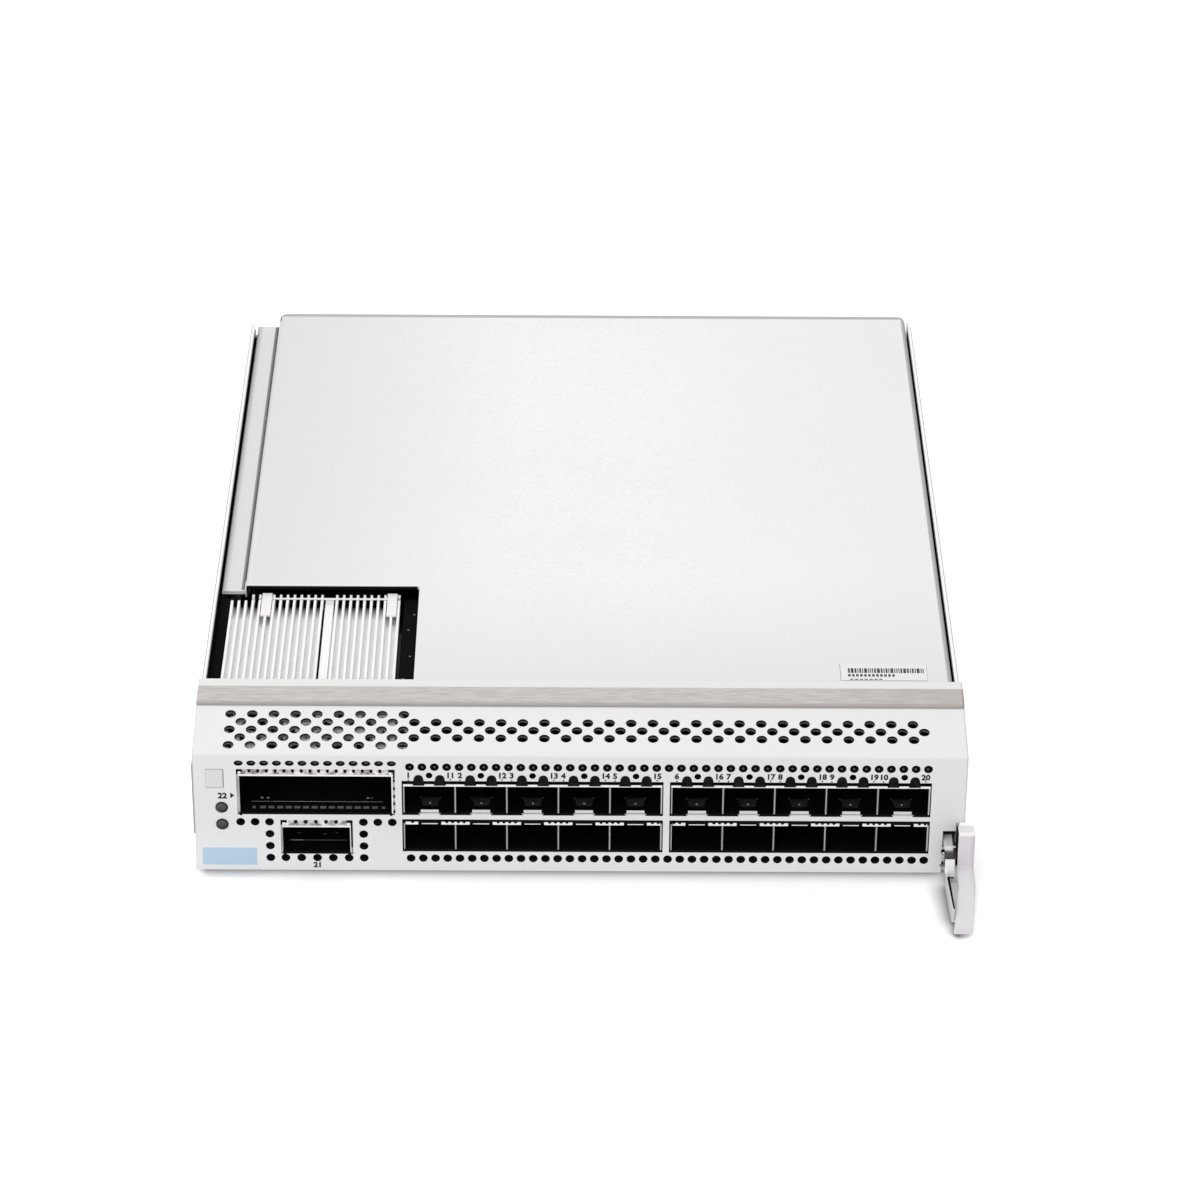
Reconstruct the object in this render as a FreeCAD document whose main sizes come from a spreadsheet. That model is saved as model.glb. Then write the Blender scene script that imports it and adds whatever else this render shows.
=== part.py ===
import FreeCAD, Part
import os
import re
import Sketcher
from FreeCAD import Placement, Rotation, Vector

# Muxponder card for a transport chassis, in millimetres.
# +X is to the right seen from the front, +Y runs back into the card, +Z is up.
# The origin is the middle of the pan's underside.

DIMENSIONS = {
    # Card
    "card_depth": 256.0,
    "fit_gap": 0.15,
    # Faceplate: front, slope, shelf, joggle and flange of one sheet
    "face_width": 213.4,
    "face_height": 38.0,
    "panel_thick": 1.2,
    "slope_depth": 18.75,
    "slope_rise": 4.1,
    "shelf_depth": 6.8,
    "joggle_run": 1.3,
    "joggle_rise": 1.5,
    "flange_depth": 3.8,
    "fold_radius": 0.8,
    # Vents in the slope, staggered by half a pitch
    "slope_vent_radius": 1.5,
    "slope_vent_row_step": 3.04,
    "slope_vent_margin": 9.76,
    "slope_vent_right_margin": 11.64,
    "slope_vent_rise": 3.8,
    "slope_vents_long": 33,
    "slope_vents_short": 9,
    # Vents in the front
    "front_vent_radius": 1.2,
    "front_vents": 43,
    "front_vent_inset": 1.995,
    "front_vent_right_inset": 0.875,
    "front_vent_top_drop": 3.8,
    "front_vent_bottom_rise": 4.1,
    "oval_vent_pitch": 3.51,
    "oval_vents": 13,
    "oval_vent_radius": 1.25,
    "oval_vent_drop": 2.75,
    "port_vent_radius": 0.95,
    "port_vent_rise": 2.8,
    "quad_vent_reach": 13.0,
    "quad_vent_pitch": 3.95,
    "quad_vent_column": 4,
    "quad_vent_side_pitch": 4.0,
    "quad_vent_side": 2,
    "quad_vent_row_pitch": 4.4,
    "quad_vent_row": 5,
    # Base pan and cover
    "pan_inset": 0.6,
    "pan_thick": 1.0,
    "pan_rear_gap": 6.0,
    "pan_front_lip": 2.6,
    "pan_rear_lip": 5.0,
    "pan_tab_bottom": 12.0,
    "fold_gap": 0.1,
    "cover_side_gap": 0.7,
    "cover_thick": 1.0,
    "cover_skirt": 9.0,
    "cover_tuck": 2.4,
    "cover_bend": 1.4,
    "ledge_bend": 0.5,
    "cover_rear_over": 1.2,
    "cover_corner": 2.6,
    "cover_rear_lip": 4.0,
    "ledge_width": 7.0,
    "ledge_drop": 2.8,
    "ledge_rear_gap": 2.5,
    "ledge_front_gap": 1.4,
    "skirt_front_gap": 15.0,
    "window_width": 57.6,
    "window_rear": 84.2,
    "window_corner": 1.0,
    # Gaskets
    "gasket_gap": 0.1,
    "gasket_height": 1.9,
    "gasket_edge": 0.6,
    "gasket_roll": 2.65,
    "gasket_lap": 0.25,
    "side_gasket_thick": 1.1,
    "side_gasket_depth": 7.6,
    "side_gasket_bottom": 11.2,
    "side_gasket_height": 22.4,
    # Main board
    "board_height": 16.4,
    "board_thick": 2.2,
    "board_side_gap": 3.6,
    "board_front": 2.0,
    "board_rear_gap": 10.0,
    "board_notch_gap": 1.4,
    "standoff_radius": 2.6,
    "standoff_inset": 3.3,
    "standoff_front": 62.0,
    "standoff_rear": 226.0,
    "screw_radius": 2.3,
    "screw_head": 1.5,
    # Small pluggable ports, in ganged cages on both faces of the board
    "ports_left_margin": 57.755,
    "ports_right_margin": 9.975,
    "ports_gap": 2.37,
    "sfp_columns": 5,
    "sfp_height": 9.9,
    "sfp_depth": 48.5,
    "sfp_floor_depth": 36.0,
    "sfp_cut_margin": 0.3,
    "sfp_cut_rise": 1.15,
    "sfp_cut_low_rise": 0.6,
    "cage_front": 0.2,
    "cage_plate": 0.4,
    "sfp_plug_side_gap": 1.025,
    "sfp_plug_depth": 9.0,
    "sfp_plug_height": 5.6,
    "plug_slot_margin": 1.2,
    "plug_slot_height": 1.6,
    "plug_slot_depth": 4.0,
    # Line port with its riding heat sink, and the quad port under it
    "line_port_inset": 33.7,
    "cfp2_width": 43.2,
    "cfp2_height": 14.55,
    "cfp2_depth": 98.0,
    "cfp2_wall": 0.6,
    "cfp2_window_width": 33.0,
    "cfp2_window_front": 29.5,
    "cfp2_window_depth": 42.0,
    "cfp2_plug_width": 34.0,
    "cfp2_plug_depth": 12.0,
    "cfp2_plug_height": 8.5,
    "qsfp_width": 19.7,
    "qsfp_height": 10.85,
    "qsfp_plug_width": 16.4,
    "qsfp_plug_height": 5.2,
    # Riding heat sink
    "sink_inset": 5.4,
    "sink_width": 49.0,
    "sink_front": 22.5,
    "sink_rear": 83.3,
    "sink_ride_gap": 0.3,
    "sink_float": 0.7,
    "sink_top_gap": 0.4,
    "sink_base": 3.6,
    "sink_base_rear": 72.0,
    "sink_pedestal": 1.5,
    "pedestal_gap": 0.5,
    "fin_thick": 0.7,
    "fin_pitch": 2.0,
    "fins_left": 14,
    "fins_right": 10,
    "rib_width": 2.4,
    "rib_drop": 1.2,
    "short_fins": 3,
    "short_fin_step": 3.4,
    "clip_rod_radius": 0.3,
    "clip_rod_inset": 2.4,
    "clip_groove": 1.4,
    "clip_tongue_width": 2.85,
    "clip_tongue_depth": 12.4,
    "clip_tongue_thick": 0.5,
    "clip_left": 9.0,
    "clip_right": 0.85,
    "retainer_thick": 0.6,
    "retainer_front": 30.0,
    "retainer_depth": 35.0,
    "retainer_height": 4.6,
    # Light pipes
    "pipe_spread": 2.95,
    "pipe_width": 2.4,
    "pipe_height": 2.6,
    "pipe_shoulder": 1.5,
    "pipe_tip_width": 1.3,
    "pipe_length": 11.0,
    "pipe_bar_depth": 3.0,
    "status_pipe_radius": 1.6,
    "status_pipe_inset": 7.7,
    "status_pipe_z": 15.1,
    "status_pipe_pitch": 5.55,
    "status_pipe_length": 10.0,
    "status_pipe_gap": 0.05,
    "status_pipe_stand": 0.2,
    # Parts on the board behind the ports
    "framer_inset": 73.5,
    "framer_front": 128.0,
    "framer_width": 42.0,
    "framer_thick": 3.2,
    "framer_sink_width": 70.0,
    "framer_sink_base": 4.0,
    "framer_sink_top_gap": 1.2,
    "framer_fin_pitch": 6.8,
    "framer_fins": 11,
    "framer_fin_thick": 1.2,
    "power_inset": 39.5,
    "power_front": 118.0,
    "power_width": 58.0,
    "power_depth": 37.0,
    "power_height": 12.0,
    "power_pitch": 46.0,
    "plane_gap": 8.0,
    "plane_side_gap": 7.5,
    "plane_depth": 16.0,
    "plane_height": 16.0,
    "plane_rear_gap": 5.0,
    "guide_width": 11.0,
    "guide_depth": 18.0,
    "guide_height": 13.0,
    "guide_inset": 17.5,
    "guide_bore": 3.0,
    # Ejector lever, drawn open
    "pivot_front": 3.0,
    "pivot_height": 8.3,
    "pin_radius": 1.2,
    "pin_gap": 0.05,
    "pin_seat_gap": 0.02,
    "pin_head_radius": 2.0,
    "pin_head": 0.6,
    "lever_inset": 2.0,
    "lever_width": 4.6,
    "lever_rear_gap": 0.5,
    "lever_root_depth": 4.7,
    "lever_root_top": 16.6,
    "lever_root_chamfer": 0.8,
    "lever_root_bottom": 4.6,
    "lever_arm_top": 5.4,
    "lever_heel_bottom": 1.2,
    "lever_heel_depth": 3.5,
    "lever_length": 31.3,
    "lever_tip_bottom": 0.8,
    "lever_tip_top": 2.3,
    "lever_tip_inset": 4.5,
    "lever_tip_width": 5.1,
    "lever_bend": 13.0,
    "notch_inset": 5.94,
    "notch_height": 13.9,
    "notch_root_gap": 0.4,
    "notch_root_height": 16.7,
    "root_sweep": 7.0,
    "bracket_inset": 5.7,
    "bracket_nose": 2.6,
    "bracket_gap": 0.4,
    "bracket_foot_front": 2.6,
    "bracket_rear": 8.0,
    "bracket_top": 12.0,
    "leaf_thick": 0.7,
    "leaf_root_inset": 5.5,
    "leaf_root_front": 5.9,
    "leaf_tip_inset": 4.7,
    "leaf_tip_front": 25.2,
    "leaf_bottom": 1.4,
    "leaf_height": 3.6,
    "leaf_tab_width": 2.65,
    "leaf_tab_bottom": 3.0,
    "leaf_tab_height": 5.5,
    "leaf_tab_thick": 0.7,
}

# Places and sizes that follow from the driving dimensions
DERIVED = {
    "front_y": "-card_depth / 2",
    "face_left": "-face_width / 2",
    "face_right": "face_width / 2",
    "slope_angle": "atan(slope_rise / slope_depth)",
    "joggle_angle": "atan(joggle_rise / joggle_run)",
    "shelf_top": "face_height + slope_rise",
    "flange_top": "shelf_top + joggle_rise",
    "joggle_front": "slope_depth + shelf_depth",
    "flange_front": "joggle_front + joggle_run",
    "flange_rear": "flange_front + flange_depth",
    "cover_top": "flange_top - panel_thick",
    "cover_under": "cover_top - cover_thick",
    "shelf_under": "shelf_top - panel_thick",
    "pan_width": "face_width - 2 * pan_inset",
    "pan_left": "-pan_width / 2",
    "pan_depth": "card_depth - panel_thick - pan_rear_gap",
    "cover_width": "pan_width - 2 * pan_thick - 2 * cover_side_gap",
    "cover_left": "-cover_width / 2",
    "cover_front": "flange_rear - cover_tuck",
    "cover_rear": "card_depth + cover_rear_over",
    "ledge_top": "cover_top - ledge_drop",
    "board_top": "board_height + board_thick",
    "board_width": "pan_width - 2 * pan_thick - 2 * board_side_gap",
    "board_depth": "card_depth - board_front - board_rear_gap",
    "standoff_x": "board_width / 2 - standoff_inset",
    "sfp_width": "(face_width - ports_left_margin - ports_right_margin - ports_gap) / 2",
    "sfp_pitch": "(sfp_width - cage_plate) / sfp_columns",
    "sfp_left_x": "face_left + ports_left_margin + sfp_width / 2",
    "sfp_right_x": "face_right - ports_right_margin - sfp_width / 2",
    "sfp_plug_width": "sfp_pitch - cage_plate - 2 * sfp_plug_side_gap",
    "front_vent_first_x": "sfp_left_x - sfp_width / 2 + front_vent_inset",
    "front_vent_last_x": "sfp_right_x + sfp_width / 2 - front_vent_right_inset",
    "front_vent_pitch": "(front_vent_last_x - front_vent_first_x) / (front_vents - 1)",
    "slope_vent_span": "face_width - slope_vent_margin - slope_vent_right_margin",
    "slope_vent_pitch": "slope_vent_span / (slope_vents_long - 1)",
    "line_port_x": "face_left + line_port_inset",
    "status_pipe_x": "face_left + status_pipe_inset",
    "window_right_x": "cover_left + window_width",
    "sink_left": "face_left + sink_inset",
    "sfp_top": "board_top + sfp_height",
    "cfp2_top": "board_top + cfp2_height",
    "sink_bottom": "cfp2_top + sink_ride_gap",
    "sink_floor": "sink_bottom + sink_base",
    "fin_top": "shelf_under - sink_float - sink_top_gap",
    "fin_height": "fin_top - sink_floor",
    "sink_depth": "sink_rear - sink_front",
    "sink_base_depth": "sink_base_rear - sink_front",
    "fins_right_start": "sink_width - (fins_right - 1) * fin_pitch - fin_thick",
    "rib_left": "sink_left + fins_left * fin_pitch - fin_thick",
    "framer_sink_bottom": "board_top + framer_thick",
    "pivot_y": "front_y - pivot_front",
    "framer_x": "board_width / 2 - framer_inset",
    "power_x": "-board_width / 2 + power_inset",
    "guide_x": "board_width / 2 - guide_inset",
    "plane_reach": "guide_x - guide_width / 2 - plane_side_gap",
    "plane_width": "2 * (plane_reach - plane_gap) / 3",
    "plane_pitch": "plane_width + plane_gap",
    "plane_front": "card_depth - plane_rear_gap - plane_depth",
    "lever_left": "face_right - lever_inset",
    "lever_tip_left": "face_right - lever_tip_inset",
    "notch_left": "face_right - notch_inset",
    "bracket_left": "face_right - bracket_inset",
    "leaf_root_left": "face_right - leaf_root_inset",
    "leaf_tip_left": "face_right - leaf_tip_inset",
}

doc = FreeCAD.newDocument("muxponder_card")
sheet = doc.addObject("Spreadsheet::Sheet", "dims")
for row, (alias, value) in enumerate(DIMENSIONS.items(), start=1):
    sheet.set(f"A{row}", alias)
    sheet.set(f"B{row}", str(value))
    sheet.setAlias(f"B{row}", alias)
doc.recompute()

nodes = []


def formula(text):
    """Write a formula of dimension names as an expression on the sheet."""
    def swap(match):
        word = match.group(0)
        if word in DERIVED:
            return "(" + formula(DERIVED[word]) + ")"
        if word in DIMENSIONS:
            return "dims." + word
        return word
    return re.sub(r"[a-z][a-z0-9_]*", swap, text)


def number(text):
    """Value of a formula."""
    result = sheet.evalExpression(formula(text))
    return float(getattr(result, "Value", result))


def bind(thing, **formulas):
    for name, text in formulas.items():
        thing.setExpression(name, formula(text))


def place(thing, x, y, z):
    for axis, text in zip("xyz", (x, y, z)):
        thing.setExpression("Placement.Base." + axis, formula(text))


def node(thing, label):
    """Give a finished sub-part its name."""
    thing.Label = label
    nodes.append(thing)
    return thing


# Solids

def box(name, size, corner):
    thing = doc.addObject("Part::Box", name)
    bind(thing, Length=size[0], Width=size[1], Height=size[2])
    place(thing, *corner)
    return thing


AXIS_TURN = {
    "X": Rotation(Vector(0, 1, 0), 90),
    "Y": Rotation(Vector(1, 0, 0), -90),
    "Z": Rotation(),
}


def cylinder(name, radius, length, start, axis):
    thing = doc.addObject("Part::Cylinder", name)
    bind(thing, Radius=radius, Height=length)
    thing.Placement = Placement(Vector(), AXIS_TURN[axis])
    place(thing, *start)
    return thing


def prism(name, sides, radius, height, start, turn=Rotation()):
    thing = doc.addObject("Part::Prism", name)
    thing.Polygon = sides
    bind(thing, Circumradius=radius, Height=height)
    thing.Placement = Placement(Vector(), turn)
    place(thing, *start)
    return thing


def fuse(name, parts):
    thing = doc.addObject("Part::MultiFuse", name)
    thing.Shapes = parts
    thing.Refine = True
    return thing


def cut(name, base, tools):
    thing = doc.addObject("Part::Cut", name)
    thing.Base = base
    thing.Tool = tools[0] if len(tools) == 1 else group(name + "_tools", tools)
    return thing


def common(name, base, tool):
    thing = doc.addObject("Part::Common", name)
    thing.Base = base
    thing.Tool = tool
    return thing


def group(name, parts):
    thing = doc.addObject("Part::Compound", name)
    thing.Links = parts
    return thing


# Bodies, each drawn from its own left, front, bottom corner

def new_body(name, corner):
    body = doc.addObject("PartDesign::Body", name)
    place(body, *corner)
    return body


def new_sketch(body, name, plane):
    sketch = body.newObject("Sketcher::SketchObject", name)
    for feature in body.Origin.OriginFeatures:
        if feature.Role == plane:
            sketch.AttachmentSupport = [(feature, "")]
    sketch.MapMode = "FlatFace"
    return sketch


def add_loop(sketch, points):
    """Closed outline through points given as formulas, each held by the sheet."""
    spots = [Vector(number(u), number(v), 0) for u, v in points]
    first = sketch.GeometryCount
    for index, spot in enumerate(spots):
        sketch.addGeometry(Part.LineSegment(spot, spots[(index + 1) % len(spots)]), False)
    for index, point in enumerate(points):
        line = first + index
        line_before = first + (index - 1) % len(points)
        sketch.addConstraint(Sketcher.Constraint("Coincident", line_before, 2, line, 1))
        for kind, text, zero_axis in zip(("DistanceX", "DistanceY"), point, (-2, -1)):
            if text == "0":
                sketch.addConstraint(Sketcher.Constraint("PointOnObject", line, 1, zero_axis))
                continue
            held = sketch.addConstraint(Sketcher.Constraint(kind, -1, 1, line, 1, number(text)))
            sketch.setExpression(f"Constraints[{held}]", formula(text))


def rectangle(left, bottom, width, height):
    right = f"{left} + {width}"
    top = f"{bottom} + {height}"
    return [(left, bottom), (right, bottom), (right, top), (left, top)]


def pad(body, sketch, name, length, backwards=False):
    feature = body.newObject("PartDesign::Pad", name)
    feature.Profile = sketch
    feature.Reversed = backwards
    bind(feature, Length=length)
    body.Tip = feature
    return feature


def pocket(body, sketch, name, depth):
    feature = body.newObject("PartDesign::Pocket", name)
    feature.Profile = sketch
    feature.Refine = False
    bind(feature, Length=depth)
    body.Tip = feature
    return feature


def repeat(body, feature, sketch, name, pitch, count, axis="H_Axis"):
    pattern = body.newObject("PartDesign::LinearPattern", name)
    pattern.Originals = [feature]
    pattern.Direction = (sketch, [axis])
    pattern.Mode = "Spacing"
    pattern.Refine = False
    bind(pattern, Offset=pitch, Occurrences=count)
    body.Tip = pattern
    return pattern


def edges_along(body, axis, places):
    """Names of the straight edges along one axis through the given points."""
    along = {"x": Vector(1, 0, 0), "y": Vector(0, 1, 0)}[axis]
    names = []
    shape = body.Tip.Shape
    for index, edge in enumerate(shape.Edges, start=1):
        run = edge.Vertexes[-1].Point - edge.Vertexes[0].Point
        if run.cross(along).Length > 1e-6:
            continue
        for point in places:
            if (edge.Vertexes[0].Point - point).cross(along).Length < 1e-4:
                names.append(f"Edge{index}")
    return names


def round_edges(body, name, axis, places, radius):
    doc.recompute()
    base = body.Tip
    names = edges_along(body, axis, places)
    feature = body.newObject("PartDesign::Fillet", name)
    feature.Base = (base, names)
    bind(feature, Radius=radius)
    body.Tip = feature
    return feature


# Faceplate

def pipe_outline(u, v, gap="0"):
    """Domed outline of a port light pipe, or of its notch with a gap round it."""
    half = f"(pipe_width / 2 + {gap})"
    tip = f"(pipe_tip_width / 2 + {gap})"
    return [
        (f"{u} - {half}", v),
        (f"{u} + {half}", v),
        (f"{u} + {half}", f"{v} + pipe_shoulder + {gap}"),
        (f"{u} + {tip}", f"{v} + pipe_height + {gap}"),
        (f"{u} - {tip}", f"{v} + pipe_height + {gap}"),
        (f"{u} - {half}", f"{v} + pipe_shoulder + {gap}"),
    ]


FRONT_TURN = Rotation(Vector(1, 0, 0), -90) * Rotation(Vector(0, 0, 1), 22.5)


def vent_row(name, radius, count, start, step, sides=8, turn=FRONT_TURN):
    """Plugs of a row of many-sided vents, each one step on from the last."""
    plugs = []
    for index in range(round(number(count))):
        spot = [f"{first} + {index} * ({pace})" for first, pace in zip(start, step)]
        corner = f"{radius} / cos(180 deg / {sides})"
        plugs.append(prism(f"{name}_{index}", sides, corner, "2 * panel_thick", spot, turn))
    return plugs


def front_vent_row(name, radius, count, x, z, pitch, upright=False, sides=8):
    """Plugs of a row of vents in the front, along X or going up."""
    step = ("0", "0", pitch) if upright else (pitch, "0", "0")
    return vent_row(name, radius, count, (x, "front_y - panel_thick / 2", z), step, sides)


def slope_vent_row(index, count):
    """Plugs of one row of slope vents, square to the sloping flat."""
    stagger = "slope_vent_pitch / 2" if index % 2 else "0"
    run = f"(slope_vent_rise + {index} * slope_vent_row_step)"
    sink = "(3 / 2 * panel_thick)"
    start = (
        f"face_left + slope_vent_margin + {stagger}",
        f"front_y + {run} * cos(slope_angle) + {sink} * sin(slope_angle)",
        f"face_height + {run} * sin(slope_angle) - {sink} * cos(slope_angle)",
    )
    turn = Rotation(Vector(1, 0, 0), number("slope_angle"))
    plugs = vent_row(f"slope_vents_{index}", "slope_vent_radius", count, start,
                     ("slope_vent_pitch", "0", "0"), turn=turn)
    for plug in plugs:
        bind(plug, **{"Placement.Rotation.Angle": "slope_angle"})
    return plugs


def make_vents():
    """Plugs of every vent in the faceplate."""
    plugs = []
    for side, centre in (("left", "sfp_left_x"), ("right", "sfp_right_x")):
        first_x = f"{centre} - (sfp_columns - 1) / 2 * sfp_pitch"
        plugs += front_vent_row(f"port_vents_{side}", "port_vent_radius", "sfp_columns", first_x,
                                "sfp_top + port_vent_rise", "sfp_pitch")
    for name, height in (
        ("front_vents_top", "face_height - front_vent_top_drop"),
        ("front_vents_bottom", "front_vent_bottom_rise"),
    ):
        plugs += front_vent_row(name, "front_vent_radius", "front_vents", "front_vent_first_x", height,
                                "front_vent_pitch")
    plugs += front_vent_row("oval_vents", "oval_vent_radius", "oval_vents",
                            "line_port_x - (oval_vents - 1) / 2 * oval_vent_pitch",
                            "face_height - oval_vent_drop", "oval_vent_pitch", sides=4)
    column_top = "front_vent_bottom_rise + (quad_vent_column - 1) * quad_vent_pitch"
    for side, sign in (("left", "-"), ("right", "+")):
        column_x = f"line_port_x {sign} quad_vent_reach"
        plugs += front_vent_row(f"quad_column_{side}", "front_vent_radius", "quad_vent_column", column_x,
                                "front_vent_bottom_rise", "quad_vent_pitch", upright=True)
        plugs += front_vent_row(f"quad_side_{side}", "front_vent_radius", "quad_vent_side",
                                f"{column_x} {sign} quad_vent_side_pitch", column_top,
                                f"{sign}quad_vent_side_pitch")
    plugs += front_vent_row("quad_row", "front_vent_radius", "quad_vent_row",
                            "line_port_x - (quad_vent_row - 1) / 2 * quad_vent_row_pitch",
                            "front_vent_bottom_rise", "quad_vent_row_pitch")
    counts = ("slope_vents_short", "slope_vents_long - 1", "slope_vents_long", "slope_vents_long - 1",
              "slope_vents_short")
    for index, count in enumerate(counts):
        plugs += slope_vent_row(index, count)
    return plugs


def make_faceplate():
    body = new_body("faceplate_body", ("face_left", "front_y", "0"))
    profile = new_sketch(body, "faceplate_profile", "YZ_Plane")
    add_loop(profile, [
        ("0", "0"),
        ("0", "face_height"),
        ("slope_depth", "shelf_top"),
        ("joggle_front", "shelf_top"),
        ("flange_front", "flange_top"),
        ("flange_rear", "flange_top"),
        ("flange_rear", "cover_top"),
        ("flange_front + panel_thick * tan(joggle_angle / 2)", "cover_top"),
        ("joggle_front + panel_thick * tan(joggle_angle / 2)", "shelf_under"),
        ("slope_depth + panel_thick * tan(slope_angle / 2)", "shelf_under"),
        ("panel_thick", "face_height + panel_thick * tan(slope_angle) - panel_thick / cos(slope_angle)"),
        ("panel_thick", "0"),
    ])
    pad(body, profile, "faceplate_sheet", "face_width")
    folds = [("0", "face_height"), ("flange_front", "flange_top")]
    fold_lines = [Vector(0, number(y), number(z)) for y, z in folds]
    round_edges(body, "faceplate_folds", "x", fold_lines, "fold_radius")

    ports = new_sketch(body, "port_cutouts", "XZ_Plane")
    sfp_cut_width = "(sfp_width + 2 * sfp_cut_margin)"
    for centre in ("sfp_left_x", "sfp_right_x"):
        left = f"{centre} - face_left - {sfp_cut_width} / 2"
        for bottom, rise in (("board_top", "sfp_cut_rise"), ("board_height - sfp_height", "sfp_cut_low_rise")):
            add_loop(ports, rectangle(left, f"{bottom} - fit_gap", sfp_cut_width,
                                      f"(sfp_height + fit_gap + {rise})"))
    line_u = "line_port_x - face_left"
    for width, height, bottom in (
        ("cfp2_width", "cfp2_height", "board_top - fit_gap"),
        ("qsfp_width", "qsfp_height", "board_height - qsfp_height - fit_gap"),
    ):
        left = f"{line_u} - {width} / 2 - fit_gap"
        add_loop(ports, rectangle(left, bottom, f"({width} + 2 * fit_gap)", f"({height} + 2 * fit_gap)"))
    pocket(body, ports, "port_openings", "2 * panel_thick")

    for side, centre in (("left", "sfp_left_x"), ("right", "sfp_right_x")):
        first_u = f"{centre} - face_left - (sfp_columns - 1) / 2 * sfp_pitch"
        for hand, sign in (("a", "-"), ("b", "+")):
            name = f"pipe_notches_{side}_{hand}"
            notch_sketch = new_sketch(body, name + "_sketch", "XZ_Plane")
            add_loop(notch_sketch, pipe_outline(f"{first_u} {sign} pipe_spread", "sfp_top", "fit_gap"))
            notch = pocket(body, notch_sketch, name + "_first", "2 * panel_thick")
            repeat(body, notch, notch_sketch, name, "sfp_pitch", "sfp_columns")

    status = []
    for index in range(2):
        height = f"status_pipe_z + {index} * status_pipe_pitch"
        status.append(cylinder(f"status_hole_{index}", "status_pipe_radius + status_pipe_gap",
                               "2 * panel_thick",
                               ("status_pipe_x", "front_y - panel_thick / 2", height), "Y"))

    notch = box(
        "lever_notch",
        ("face_width / 2 - notch_left + panel_thick", "3 * panel_thick", "notch_height + panel_thick"),
        ("notch_left", "front_y - panel_thick", "-panel_thick"),
    )
    root_left = "lever_left - notch_root_gap"
    root_notch = box(
        "lever_root_notch",
        (f"face_width / 2 - {root_left} + panel_thick", "3 * panel_thick", "notch_root_height"),
        (root_left, "front_y - panel_thick", "0"),
    )
    lever_notches = fuse("lever_notches", [notch, root_notch])
    return node(cut("faceplate_cut", body, [lever_notches] + status + make_vents()), "faceplate")


# Base pan and cover

def make_base_pan():
    body = new_body("pan_body", ("pan_left", "front_y + panel_thick", "0"))
    profile = new_sketch(body, "pan_profile", "XZ_Plane")
    add_loop(profile, [
        ("0", "0"),
        ("pan_width", "0"),
        ("pan_width", "cover_top"),
        ("pan_width - pan_thick", "cover_top"),
        ("pan_width - pan_thick", "pan_thick"),
        ("pan_thick", "pan_thick"),
        ("pan_thick", "cover_top"),
        ("0", "cover_top"),
    ])
    pad(body, profile, "pan_sheet", "pan_depth", backwards=True)
    front_lip = box(
        "pan_front_fold",
        ("notch_left - pan_left", "pan_thick", "pan_front_lip"),
        ("pan_left", "front_y + panel_thick", "0"),
    )
    rear_lip = box(
        "pan_rear_fold",
        ("pan_width", "pan_thick", "pan_rear_lip"),
        ("pan_left", "front_y + panel_thick + pan_depth - pan_thick", "0"),
    )
    right_tab = box(
        "pan_right_tab",
        ("pan_thick", "pan_rear_gap + pan_thick", "cover_top - pan_tab_bottom"),
        ("pan_left + pan_width - pan_thick", "front_y + panel_thick + pan_depth - pan_thick",
         "pan_tab_bottom"),
    )
    tray = fuse("pan_tray", [body, front_lip, rear_lip, right_tab])
    slope_room = box(
        "pan_slope_room",
        ("face_width", "(slope_depth + panel_thick) / cos(slope_angle)", "flange_top"),
        ("face_left", "front_y", "face_height - panel_thick / cos(slope_angle) - fold_gap"),
    )
    slope_room.Placement = Placement(Vector(), Rotation(Vector(1, 0, 0), number("slope_angle")))
    bind(slope_room, **{"Placement.Rotation.Angle": "slope_angle"})
    shelf_room = box(
        "pan_shelf_room",
        ("face_width", "shelf_depth + joggle_run + panel_thick", "flange_top"),
        ("face_left", "front_y + slope_depth", "shelf_under - fold_gap"),
    )
    lever_room = box(
        "pan_lever_room",
        ("2 * pan_thick", "root_sweep + pan_thick", "notch_root_height + notch_root_gap - pan_thick"),
        ("pan_left + pan_width - 3 / 2 * pan_thick", "front_y", "2 * pan_thick"),
    )
    rooms = fuse("pan_rooms", [slope_room, shelf_room, lever_room])
    return node(cut("pan_cut", tray, [rooms]), "base_pan")


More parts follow.
